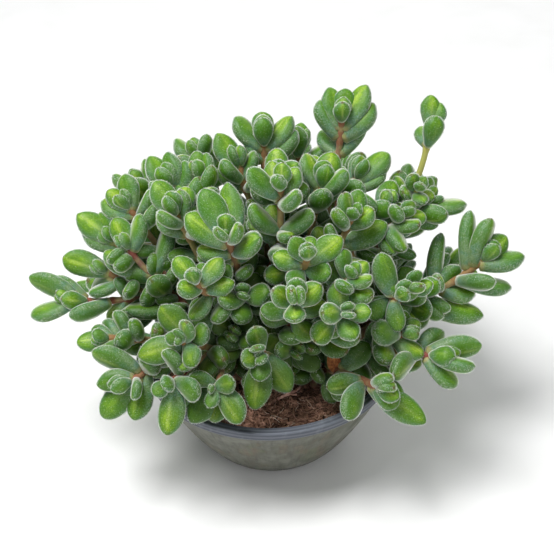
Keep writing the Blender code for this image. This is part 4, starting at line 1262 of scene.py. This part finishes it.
def add_leaf_hairs(growth, leaf, rings, steps, around, draw, looks):
    """White hairs round the margin and over the tip, each a slim three-sided cone."""
    count = int(looks.hairs_per_mm * leaf["length"] * (1.0 - SHADED_HAIR_LOSS * leaf["shade"]))
    for _ in range(count):
        place = draw.uniform(HAIR_START * steps, steps - HAIR_END)
        if draw.random() < looks.edge_share:
            turn = draw.choice((0.0, 0.5)) + draw.uniform(-HAIR_EDGE, HAIR_EDGE)
        else:
            turn = draw.random()
        ring, part = int(place), place % 1
        k = turn * around
        low, share = int(math.floor(k)) % around, k - math.floor(k)
        high = (low + 1) % around
        near = rings[ring * around + low].lerp(rings[ring * around + high], share)
        far = rings[(ring + 1) * around + low].lerp(rings[(ring + 1) * around + high], share)
        root = near.lerp(far, part)
        c, s = math.cos(2 * math.pi * turn), -math.sin(2 * math.pi * turn)
        outward = leaf["side"] * c + leaf["up"] * (s * HAIR_FACE_LIFT)
        outward += leaf["way"] * (HAIR_LEAN + HAIR_TIP_LEAN * (place / steps) ** 3)
        outward += Vector([draw.uniform(-1, 1) for _ in range(3)]) * HAIR_RUFFLE
        outward.normalize()
        length = looks.hair_length / MM * draw.uniform(*HAIR_LENGTHS)
        length *= 1.0 + YOUNG_HAIR_GAIN * leaf["young"]
        width = looks.hair_width / MM * 0.5
        first = outward.orthogonal().normalized() * width
        second = outward.cross(first).normalized() * (width * TRIANGLE_SIDE)
        root -= outward * HAIR_DEPTH
        start = growth.add_points(
            (root + first, root - first * 0.5 + second, root - first * 0.5 - second,
             root + outward * length),
            along=(0.0, 0.0, 0.0, 1.0))
        growth.add_faces(((start, start + 1, start + 3), (start + 1, start + 2, start + 3),
                          (start + 2, start, start + 3), (start, start + 2, start + 1)), HAIR_SLOT)


def fine_stem(growth, line, start_radius, end_radius, knots, fresh):
    """A round stem along a line, a little swollen and ringed at each leaf pair."""
    lengths = [0.0]
    for a, b in zip(line, line[1:]):
        lengths.append(lengths[-1] + (b - a).length)
    total = lengths[-1]
    points, tone, young = [], [], []
    rings = max(FEWEST_RINGS, int(total / STEM_RING_STEP))
    side = Vector((1, 0, 0))
    for ring in range(rings + 1):
        place = total * ring / rings
        index = max(i for i, far in enumerate(lengths[:-1]) if far <= place + TINY)
        share = (place - lengths[index]) / max(lengths[index + 1] - lengths[index], TINY)
        centre = line[index].lerp(line[index + 1], min(share, 1.0))
        way = (line[min(index + 2, len(line) - 1)] - line[max(index - 1, 0)]).normalized()
        side = (side - way * side.dot(way)).normalized()
        other = way.cross(side)
        below_tip = total - place
        rises = [math.exp(-((below_tip - knot - KNOT_DROP) / KNOT_LENGTH) ** 2) for knot in knots]
        ringed = max(rises + [0.0])
        radius = start_radius + (end_radius - start_radius) * place / total + KNOT_SWELL * ringed
        if below_tip < STEM_ROUNDING:
            radius *= max(0.2, below_tip / STEM_ROUNDING) ** 0.5
        for k in range(STEM_AROUND):
            angle = 2 * math.pi * k / STEM_AROUND
            points.append(centre + side * (math.cos(angle) * radius)
                          + other * (math.sin(angle) * radius))
            tone.append(ringed)
            young.append(fresh * min(1.0, max(0.0, 2.0 - below_tip / FRESH_REACH)))
    start = growth.add_points(points, tone=tone, young=young)
    last = start + rings * STEM_AROUND
    growth.add_faces(ring_faces(start, rings + 1, STEM_AROUND), BARK_SLOT)
    growth.add_faces([tuple(start + k for k in reversed(range(STEM_AROUND)))], BARK_SLOT)
    growth.add_faces([tuple(last + k for k in range(STEM_AROUND))], BARK_SLOT)


def more_leaves(shoots, paths, room):
    """Young leaves at each growing tip, and the shaded pairs lower down where there is room."""
    draw = random.Random(INNER_SEED)
    grown = []
    drop, length, opening, quarter = YOUNG_PAIR
    for name in shoots:
        turn = draw.uniform(0, 90)
        for half in (0, 180):
            leaf = make_leaf(paths[name], drop, turn + quarter + half, length, opening)
            leaf.update(shoot=name, plant=plant_of(name), level=drop, young=1.0)
            grown.append(leaf)
    for drop, name in itertools.product(INNER_DROPS, shoots):
        if name in BARE_SHOOTS:
            continue
        path = paths[name]
        reach = sum((b - a).length for a, b in zip(path, path[1:]))
        turn = draw.uniform(0, 360)
        for half in (0, 180):
            wish = (turn + half, draw.uniform(*INNER_LENGTH), draw.uniform(*INNER_OPENING))
            too_low = point_below_tip(path, drop)[0].z < INNER_FLOOR
            if reach < drop + INNER_STEM_LEFT or too_low:
                continue
            leaf = fit_leaf(room, name, path, drop, wish)
            if leaf is not None:
                grown.append(leaf)
    return grown


def leaf_numbers(leaves):
    """Give each leaf its tone, its painted shade from its depth in the plant, and how young it is.
    """
    draw = random.Random(LEAF_SEED)
    for leaf in leaves:
        middle = leaf["root"] + leaf["way"] * (leaf["length"] * LEAF_MIDDLE)
        reach = (middle - DOME_MIDDLE).length
        leaf["tone"] = min(1.0, max(0.0, draw.gauss(0.5, TONE_SPREAD)))
        # Painted shade, the more the nearer a leaf is to the middle of the dome
        shade = min(1.0, max(0.0, (SHADE_REACH - reach) / SHADE_SPAN))
        leaf["shade"] = shade * draw.uniform(*SHADE_DRAW)
        short = min(1.0, max(0.0, (YOUNG_LENGTH - leaf["length"]) / YOUNG_SPAN))
        leaf["young"] = max(leaf.get("young", 0.0), short * YOUNG_SHARE)


def arc(middle_x, middle_z, radius, start, end):
    """Points of a rounded edge between two angles in degrees, counted from outward to upward."""
    points = []
    for step in range(ARC_STEPS + 1):
        angle = math.radians(start + (end - start) * step / ARC_STEPS)
        points.append((middle_x + radius * math.cos(angle), middle_z + radius * math.sin(angle)))
    return points


def revolve(profile, around):
    """A profile turned about the upright axis, with its first and last points as the poles."""
    points = []
    for radius, height in profile[1:-1]:
        for k in range(around):
            angle = -2 * math.pi * k / around
            points.append(Vector((radius * math.cos(angle), radius * math.sin(angle), height)))
    points.append(Vector((0.0, 0.0, profile[0][1])))
    points.append(Vector((0.0, 0.0, profile[-1][1])))
    return points, closed_faces(0, len(profile) - 2, around)


def pot_outer(z):
    """Radius of the bowl's outer wall below its lip, at a height."""
    share = z / (POT_HEIGHT - POT_LIP_DROP)
    spread = POT_RIM_RADIUS - POT_LIP_STEP - POT_BASE_RADIUS
    return POT_BASE_RADIUS + spread * share ** POT_WALL_CURVE


def pot_profile():
    """The bowl's outline, from the middle of its floor up, over the lip and to its underside."""
    top = POT_HEIGHT - POT_LIP_DROP
    heights = [top * step / WALL_STEPS for step in range(WALL_STEPS + 1)]
    inner = POT_RIM_RADIUS - POT_LIP_WIDTH
    profile = [(0.0, POT_WALL)]
    profile += [(pot_outer(POT_WALL) - POT_WALL, POT_WALL)]
    profile += [(pot_outer(z) - POT_WALL, z) for z in heights if z > POT_WALL]
    profile += [(inner, POT_HEIGHT - POT_WALL)]
    profile += arc(inner + LIP_INNER_EDGE, POT_HEIGHT - LIP_INNER_EDGE, LIP_INNER_EDGE, 180, 90)
    flat = POT_LIP_WIDTH - LIP_INNER_EDGE - LIP_OUTER_EDGE
    for groove in range(1, LIP_GROOVES + 1):
        middle = inner + LIP_INNER_EDGE + flat * groove / (LIP_GROOVES + 1)
        profile += [(middle - LIP_GROOVE_HALF, POT_HEIGHT),
                    (middle, POT_HEIGHT - LIP_GROOVE_DEPTH),
                    (middle + LIP_GROOVE_HALF, POT_HEIGHT)]
    outer = POT_RIM_RADIUS - LIP_OUTER_EDGE
    profile += arc(outer, POT_HEIGHT - LIP_OUTER_EDGE, LIP_OUTER_EDGE, 90, 0)
    profile += arc(POT_RIM_RADIUS - LIP_LOWER_EDGE, top + LIP_LOWER_EDGE, LIP_LOWER_EDGE, 0, -90)
    profile += [(pot_outer(z), z) for z in reversed(heights) if z > FOOT_EDGE]
    profile += [(pot_outer(0.0), FOOT_EDGE), (pot_outer(0.0) - FOOT_EDGE, 0.0)]
    profile += [(0.0, 0.0)]
    return profile


def build_pot(looks):
    """The bowl pot with its drainage holes cut through the floor."""
    points, faces = revolve(pot_profile(), POT_AROUND)
    pot = mesh_piece("pot_bowl", points, faces, [pot_plastic(looks)])
    holes = []
    for k in range(DRAIN_HOLES):
        angle = 2 * math.pi * k / DRAIN_HOLES
        place = Vector((math.cos(angle), math.sin(angle), 0)) * DRAIN_HOLE_CIRCLE * MM
        bpy.ops.mesh.primitive_cylinder_add(
            vertices=HOLE_AROUND, radius=DRAIN_HOLE_RADIUS * MM, depth=HOLE_CUT_DEPTH * MM,
            location=place)
        holes.append(bpy.context.object)
        cut = pot.modifiers.new("drain", 'BOOLEAN')
        cut.object = holes[-1]
        cut.operation = 'DIFFERENCE'
    evaluated = pot.evaluated_get(bpy.context.evaluated_depsgraph_get())
    drained = bpy.data.meshes.new_from_object(evaluated)
    pot.modifiers.clear()
    pot.data = drained
    drained.shade_smooth()
    for hole in holes:
        bpy.data.objects.remove(hole)
    hand_over(pot, "pot", "pot")


def hand_over(piece, slot, *nodes):
    """Let a piece ride on the part and stand for solids. The slot is not used."""
    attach(piece, BODY)
    if nodes:
        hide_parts(*nodes)


def bed_height(x, y):
    """Height of the uneven compost at a place, a little higher in the middle."""
    out = math.hypot(x, y)
    if out < SOIL_SHOULDER_RADIUS:
        low = SOIL_CROWN * (1 - (1 - SOIL_SHOULDER_SHARE) * out / SOIL_SHOULDER_RADIUS)
    else:
        edge = pot_outer(SOIL_TOP) - POT_WALL - SOIL_SIDE_GAP
        left = max(0.0, (edge - out) / (edge - SOIL_SHOULDER_RADIUS))
        low = SOIL_CROWN * SOIL_SHOULDER_SHARE * left
    lumps = noise.noise(Vector((x, y, 0)) / BED_LUMP) * BED_RELIEF
    lumps += noise.noise(Vector((x, y, BED_CRUMB_SLICE)) / BED_CRUMB) * BED_RELIEF * BED_CRUMB_SHARE
    return SOIL_TOP + low + lumps


def build_compost(looks):
    """The compost's body, and the crumbs and husk strands that lie on it."""
    edge = pot_outer(SOIL_TOP) - POT_WALL - SOIL_SIDE_GAP
    radii = [edge * step / BED_RINGS for step in range(1, BED_RINGS + 1)]
    profile = [(0.0, SOIL_TOP)] + [(radius, SOIL_TOP) for radius in radii]
    side = POT_WALL + SOIL_SIDE_GAP
    profile += [(pot_outer(z) - side, z) for z in BED_SIDE_HEIGHTS]
    profile += [(pot_outer(0.0) - side, POT_WALL + GAP), (0.0, POT_WALL + GAP)]
    points, faces = revolve(profile, BED_AROUND)
    for point in points:
        if point.z == SOIL_TOP:
            point.z = bed_height(point.x, point.y)
    bed = mesh_piece("compost_bed", points, faces, [coir_bed(looks)])
    hand_over(bed, "soil", "soil")
    draw = random.Random(BED_SEED)
    growth = Growth()
    for _ in range(looks.strands):
        add_strand(growth, draw, edge)
    for _ in range(looks.crumbs):
        add_crumb(growth, draw, edge)
    hand_over(growth.piece("compost_coir", [coir_strand(looks)]), "soil")


def place_on_bed(draw, edge):
    """A place on the compost, spread evenly over its area."""
    out = (edge - COIR_MARGIN) * math.sqrt(draw.random())
    angle = draw.uniform(0, 2 * math.pi)
    return Vector((out * math.cos(angle), out * math.sin(angle), 0.0))


def add_strand(growth, draw, edge):
    """One bent husk strand that lies on the compost or sticks up from it a little."""
    place = place_on_bed(draw, edge)
    heading, bow = draw.uniform(0, 2 * math.pi), draw.uniform(-STRAND_BOW, STRAND_BOW)
    length = draw.triangular(*STRAND_LENGTH)
    radius = draw.triangular(*STRAND_RADIUS)
    lift = draw.uniform(*STRAND_LIFT)
    line = []
    for step in range(STRAND_STEPS):
        turn = heading + bow * step
        place = place + Vector((math.cos(turn), math.sin(turn), 0)) * (length / STRAND_STEPS)
        if math.hypot(place.x, place.y) > edge - STRAND_MARGIN:
            break
        height = bed_height(place.x, place.y) + lift * draw.uniform(*STRAND_SETTLING)
        line.append(Vector((place.x, place.y, height)))
    if len(line) > 2:
        add_tube(growth, line, [radius] * len(line), STRAND_SIDES, tone=draw.random())


def add_crumb(growth, draw, edge):
    """One husk crumb: a lumpy grain of a few flat sides."""
    place = place_on_bed(draw, edge)
    size = draw.triangular(*CRUMB_SIZE)
    foot = Vector((place.x, place.y, bed_height(place.x, place.y)))
    way = Vector((draw.uniform(-1, 1), draw.uniform(-1, 1), draw.uniform(-CRUMB_TILT, CRUMB_TILT)))
    way.normalize()
    line = [foot + way * (size * (step - 1)) for step in range(3)]
    radii = [size * draw.uniform(*CRUMB_GIRTH) for _ in range(3)]
    add_tube(growth, line, radii, CRUMB_SIDES, draw, tone=draw.uniform(*CRUMB_TONE))


def add_tube(growth, line, radii, sides, draw=None, **numbers):
    """A closed tube along a line, its outline roughened where a draw is given."""
    points = []
    for index, centre in enumerate(line):
        way = (line[min(index + 1, len(line) - 1)] - line[max(index - 1, 0)]).normalized()
        side = way.cross(TUBE_SIDE).normalized()
        other = way.cross(side)
        for k in range(sides):
            angle = 2 * math.pi * k / sides
            radius = radii[index] * (draw.uniform(*TUBE_ROUGHNESS) if draw else 1.0)
            points.append(centre + side * (math.cos(angle) * radius)
                          + other * (math.sin(angle) * radius))
    points.append(line[0] - (line[1] - line[0]).normalized() * radii[0] * 0.5)
    points.append(line[-1] + (line[-1] - line[-2]).normalized() * radii[-1] * 0.5)
    start = growth.add_points(points, **numbers)
    growth.add_faces(closed_faces(start, len(line), sides), 0)


def build_stalk(looks):
    """A fallen flower stalk with one twig, which lies on the compost."""
    growth = Growth()
    line = [Vector(place) for place in STALK_LINE]
    add_tube(growth, line, [STALK_RADIUS * share for share in STALK_SHARES], STALK_SIDES)
    fork = line[STALK_FORK]
    twig = [fork] + [fork + Vector(step) for step in TWIG_STEPS]
    add_tube(growth, twig, [STALK_RADIUS * share for share in TWIG_SHARES], TWIG_SIDES)
    stalk = dry_skin("dried flower stalk", looks.stalk_fold_shade, looks.stalk_face)
    hand_over(growth.piece("fallen_stalk", [stalk]), "soil")


def build_dead_leaf(looks):
    """A dried, folded leaf that is caught on a low leaf just above the compost."""
    growth = Growth()
    foot, way = Vector(DEAD_LEAF_FOOT), Vector(DEAD_LEAF_WAY).normalized()
    side = way.cross(Vector((0, 0, 1))).normalized()
    up = side.cross(way)
    points = []
    for step in range(LEAF_STEPS):
        t = (step + 0.5) / LEAF_STEPS
        width = DEAD_LEAF_HALF_WIDTH * blade_half_width(t)
        for k in range(LEAF_AROUND):
            angle = -2 * math.pi * k / LEAF_AROUND
            c, s = math.cos(angle), math.sin(angle)
            # The margins fold up, wrinkles cross the blade, and both ends hang down
            fold = (DEAD_LEAF_FOLD * abs(c) ** 1.6 + DEAD_LEAF_WRINKLE * math.sin(9 * t + 3 * c)
                    - DEAD_LEAF_DROOP * (t - 0.5) ** 2)
            points.append(foot + way * (DEAD_LEAF_LENGTH * t) + side * (width * c)
                          + up * (fold + DEAD_LEAF_HALF_DEPTH * s))
    points.append(foot)
    points.append(foot + way * DEAD_LEAF_LENGTH)
    start = growth.add_points(points)
    growth.add_faces(closed_faces(start, LEAF_STEPS, LEAF_AROUND), 0)
    dry = dry_skin("dried crassula leaf", looks.dried_leaf_fold_shade, looks.leaf_face)
    hand_over(growth.piece("dried_leaf", [dry]), "soil")


def build_plants(looks):
    """Every leafy stem, each one piece that stands for the solid of the same name."""
    shoots = all_shoots()
    paths = stem_paths(shoots)
    room = Room()
    leaves = lay_out_leaves(shoots, paths, room)
    leaves += more_leaves(shoots, paths, room)
    leaf_numbers(leaves)
    materials = [leaf_skin(looks), leaf_hair(looks), stem_skin(looks)]
    draw = random.Random(LEAF_SEED)
    for plant in shoots:
        if plant in SIDE_SHOOTS:
            continue
        growth = Growth()
        sides = [side for side, (parent, _) in SIDE_SHOOTS.items() if parent == plant]
        for name in [plant] + sides:
            line, thick = list(paths[name]), STEM_TIP_RADIUS + SIDE_SHOOT_SWELL
            if name == plant:
                line.insert(0, line[0] - Vector((0, 0, FOOT_DEPTH)))
                thick = STEM_FOOT_RADIUS
            drops = {leaf["level"] for leaf in leaves if leaf["shoot"] == name}
            fresh = FRESHEST if plant == FRESH_SHOOT else draw.uniform(*FRESHNESS)
            fine_stem(growth, line, thick, STEM_TIP_RADIUS, sorted(drops), fresh)
        for leaf in leaves:
            if leaf["plant"] == plant:
                fine_leaf(growth, leaf, draw, looks)
        hand_over(growth.piece(plant + "_leaves", materials), plant, plant)


def build_stage(looks):
    """Pale floor, soft lights, white surroundings and the camera of the photograph."""
    scene = bpy.context.scene
    bpy.ops.mesh.primitive_plane_add(size=looks.floor_size)
    floor = bpy.context.object
    floor.name = "floor"
    made, tree = new_material("painted board")
    patches, = grains(tree, (25.0, 2.0, 0.5))
    tint = coated(tree, looks.floor_colour, (linear("FFFFFF"), patches))
    finish = {"Base Color": tint, "Roughness": 0.9, "Specular IOR Level": 0.1}
    floor.data.materials.append(finish_material(made, finish))
    for name, place, size, power in LAMPS:
        data = bpy.data.lights.new(name, 'AREA')
        data.shape, data.size, data.energy = 'DISK', size, power * looks.light_level
        lamp = bpy.data.objects.new(name, data)
        lamp.location = place
        lamp.rotation_euler = (VIEW_TARGET * MM - Vector(place)).to_track_quat('-Z', 'Y').to_euler()
        scene.collection.objects.link(lamp)
    world = bpy.data.worlds.new("soft surroundings")
    world.use_nodes = True
    glow = world.node_tree.nodes["Background"]
    feed(world.node_tree, glow, {"Color": looks.air_colour, "Strength": looks.air_level})
    scene.world = world
    scene.view_settings.view_transform = 'Standard'
    data = bpy.data.cameras.new("photo view")
    data.sensor_width = SENSOR
    data.lens = SENSOR * PHOTO_FOCAL / PHOTO_WIDTH
    data.clip_start = CLIP_START * MM
    camera = bpy.data.objects.new("photo view", data)
    roll = math.radians(VIEW_ROLL)
    right = VIEW_RIGHT * math.cos(roll) - VIEW_UP * math.sin(roll)
    up = VIEW_UP * math.cos(roll) + VIEW_RIGHT * math.sin(roll)
    place = Matrix((right, up, VIEW_NEAR)).transposed().to_4x4()
    place.translation = (VIEW_TARGET + VIEW_NEAR * VIEW_DISTANCE) * MM
    camera.matrix_world = place
    scene.collection.objects.link(camera)
    scene.camera = camera


def colour_setting(name, text, description):
    """A colour that a user may change, from an sRGB hex value."""
    return FloatVectorProperty(name=name, description=description, default=linear(text),
                               size=4, subtype='COLOR', min=0.0, max=1.0)


def size_setting(name, size_mm, description):
    """A size that a user may change, from its value in millimetres."""
    return FloatProperty(name=name, description=description, default=size_mm * MM,
                         unit='LENGTH', subtype='DISTANCE', min=0.0)


class CrassulaPotLooks(bpy.types.PropertyGroup):
    """Settings of the pot."""

    rim_slate: colour_setting("Rim", "6A6F79", "Raised rings of the lip")
    rim_dark: colour_setting("Rim shade", "4E525B", "Grooves between the rings of the lip")
    # Worn and dusty places of the lip, and the painted highlight along its lower edge
    rim_wear_and_highlight: colour_setting("Rim wear", "8E939A", "Worn and dusty places of the lip")
    plastic_grey: colour_setting("Wall", "5C5D54", "Clean plastic of the wall")
    # Run marks and grime of the wall, its darkening towards the bottom, and the painted shadow
    # under the lip
    plastic_dark_and_lip_shadow: colour_setting("Wall streaks", "36362F", "Run marks and grime of the wall")
    dust: colour_setting("Dust", "74756A", "Dried dust on the wall")
    algae: colour_setting("Algae", "6E7454", "Thin green film on the damp wall")
    earth: colour_setting("Earth", "82705A", "Brown film of washed-out earth")


class CrassulaCompostLooks(bpy.types.PropertyGroup):
    """Settings of the compost."""

    # Painted shade in the gaps between the crumbs, and the darkest strands
    coir_dark_and_gap_shade: colour_setting("Gaps", "2A1D16", "Dark wet gaps between the crumbs")
    coir_brown: colour_setting("Coir", "94705C", "Usual husk colour")
    coir_red: colour_setting("Red coir", "C09480", "Redder husk")
    coir_light: colour_setting("Dry coir", "F0DCCA", "Dry strands")
    strands: IntProperty(name="Strands", description="Number of husk strands", default=2900, min=0)
    crumbs: IntProperty(name="Crumbs", description="Number of husk crumbs", default=1800, min=0)


class CrassulaLooseLooks(bpy.types.PropertyGroup):
    """Settings of the fallen stalk and the dried leaf."""

    # Painted shade in the folds of the fallen stalk
    stalk_fold_shade: colour_setting("Stalk folds", "C08472", "Folds of the fallen stalk")
    stalk_face: colour_setting("Stalk", "F0C2B2", "Pale pink skin of the fallen stalk")
    # Painted shade in the folds of the dried leaf
    dried_leaf_fold_shade: colour_setting("Dried leaf folds", "8A4A20", "Folds of the dried leaf")
    leaf_face: colour_setting("Dried leaf", "C98048", "Orange-brown skin of the dried leaf")


class CrassulaPlantLooks(bpy.types.PropertyGroup):
    """Settings of the leafy stems."""

    leaf_green: colour_setting("Leaf", "52860C", "Flesh of a warm leaf")
    leaf_cool: colour_setting("Cool leaf", "447A1A", "Flesh of a cool leaf")
    leaf_window: colour_setting("Window", "7AAE1C", "Clear middle of a cool leaf")
    leaf_window_warm: colour_setting("Warm window", "9CBE28", "Clear middle of a warm leaf")
    leaf_streak: colour_setting("Midrib", "C2D868", "Pale line along the middle")
    # Painted shade of leaves deep inside the plant, and dark flecks
    leaf_shade_and_fleck: colour_setting("Shaded leaf", "30420C", "Leaves inside the plant, and dark flecks")
    leaf_felt: colour_setting("Felt", "7A946C", "Grey felt of the margin and the foot")
    leaf_felt_cool: colour_setting("Cool felt", "6A8E78", "Bluish patches of the felt")
    leaf_tip: colour_setting("Leaf tip", "645032", "Sun-browned tips")
    # Hair ends, and the painted sheen and glints of the felt
    hair_and_sheen_white: colour_setting("Hair", "FAFCF6", "Hair ends")
    hair_root: colour_setting("Hair root", "D0DCCA", "Hair roots")
    stem_red: colour_setting("Red bark", "8A463C", "Bark where the leaves grow")
    stem_brown: colour_setting("Brown bark", "8F6557", "Pinkish brown bark")
    stem_ochre: colour_setting("Ochre bark", "A08A60", "Ochre patches of the bark")
    stem_ring: colour_setting("Joints", "B3A469", "Leaf feet at the stem")
    stem_fresh: colour_setting("Fresh stem", "B2B45A", "Young green stem")
    stem_felt: colour_setting("Stem felt", "C9B7A0", "Down on the bark")
    hair_length: size_setting("Hair length", 0.80, "Length of a leaf hair")
    hair_width: size_setting("Hair width", 0.26, "Width of a leaf hair at its root")
    hairs_per_mm: FloatProperty(
        name="Hairs", description="Hairs for each millimetre of leaf length", default=8.0, min=0.0)
    edge_share: FloatProperty(
        name="Edge hairs", description="Share of the hairs that edge the leaf",
        default=0.72, min=0.0, max=1.0)


class CrassulaStageLooks(bpy.types.PropertyGroup):
    """Settings of the floor, the light and the surroundings."""

    floor_size: size_setting("Floor", 6000.0, "Width of the floor")
    floor_colour: colour_setting("Floor colour", "F4F4F2", "Pale floor")
    air_colour: colour_setting("Air", "F7F9FB", "Colour of the surroundings")
    air_level: FloatProperty(
        name="Air level", description="Brightness of the surroundings", default=0.33, min=0.0)
    light_level: FloatProperty(
        name="Lights", description="Brightness of the lights", default=1.0, min=0.0)


class CRASSULA_OT_pot(bpy.types.Operator):
    """Mould the bowl pot with its lip and drainage holes"""

    bl_idname = "crassula.pot"
    bl_label = "Pot"

    def execute(self, context):
        if "pot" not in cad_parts:
            raise RuntimeError("the packed model has no pot")
        build_pot(context.scene.crassula_pot)
        return {'FINISHED'}


class CRASSULA_OT_compost(bpy.types.Operator):
    """Fill the pot with coir compost, its strands and crumbs"""

    bl_idname = "crassula.compost"
    bl_label = "Compost"

    def execute(self, context):
        if "soil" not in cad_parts:
            raise RuntimeError("the packed model has no compost")
        build_compost(context.scene.crassula_compost)
        return {'FINISHED'}


class CRASSULA_OT_loose_bits(bpy.types.Operator):
    """Lay the fallen stalk on the compost and the dried leaf on a low leaf"""

    bl_idname = "crassula.loose_bits"
    bl_label = "Loose bits"

    def execute(self, context):
        build_stalk(context.scene.crassula_loose)
        build_dead_leaf(context.scene.crassula_loose)
        return {'FINISHED'}


class CRASSULA_OT_plants(bpy.types.Operator):
    """Grow every leafy stem with its felted leaves"""

    bl_idname = "crassula.plants"
    bl_label = "Leafy stems"

    def execute(self, context):
        stems = [name for name in all_shoots() if name not in SIDE_SHOOTS]
        missing = [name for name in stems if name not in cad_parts]
        if missing:
            raise RuntimeError("the packed model lacks the stems " + ", ".join(missing))
        build_plants(context.scene.crassula_plant)
        return {'FINISHED'}


class CRASSULA_OT_stage(bpy.types.Operator):
    """Set up the floor, the lights and the camera"""

    bl_idname = "crassula.stage"
    bl_label = "Stage"

    def execute(self, context):
        build_stage(context.scene.crassula_stage)
        return {'FINISHED'}


class VIEW3D_PT_crassula(bpy.types.Panel):
    """Sidebar panel with each operator and its settings"""

    bl_label = "Potted Crassula"
    bl_space_type = 'VIEW_3D'
    bl_region_type = 'UI'
    bl_category = "Crassula"

    def draw(self, context):
        layout = self.layout
        for operator, settings in zip(OPERATORS, SETTINGS):
            box = layout.box()
            box.operator(operator.bl_idname)
            group = getattr(context.scene, settings)
            for key in group.bl_rna.properties.keys():
                if key not in ("rna_type", "name"):
                    box.prop(group, key)


# The settings of each operator, in the operators' order
SETTINGS = {
    "crassula_pot": CrassulaPotLooks,
    "crassula_compost": CrassulaCompostLooks,
    "crassula_loose": CrassulaLooseLooks,
    "crassula_plant": CrassulaPlantLooks,
    "crassula_stage": CrassulaStageLooks,
}
OPERATORS = (CRASSULA_OT_pot, CRASSULA_OT_compost, CRASSULA_OT_loose_bits, CRASSULA_OT_plants,
             CRASSULA_OT_stage)


def register():
    for group in SETTINGS.values():
        bpy.utils.register_class(group)
    for operator in OPERATORS:
        bpy.utils.register_class(operator)
    bpy.utils.register_class(VIEW3D_PT_crassula)
    for name, group in SETTINGS.items():
        setattr(bpy.types.Scene, name, PointerProperty(type=group))


def unregister():
    for name in SETTINGS:
        delattr(bpy.types.Scene, name)
    bpy.utils.unregister_class(VIEW3D_PT_crassula)
    for operator in reversed(OPERATORS):
        bpy.utils.unregister_class(operator)
    for group in SETTINGS.values():
        bpy.utils.unregister_class(group)


def main():
    register()
    bpy.ops.crassula.pot()
    bpy.ops.crassula.compost()
    bpy.ops.crassula.loose_bits()
    bpy.ops.crassula.plants()
    bpy.ops.crassula.stage()


if __name__ == "__main__":
    main()
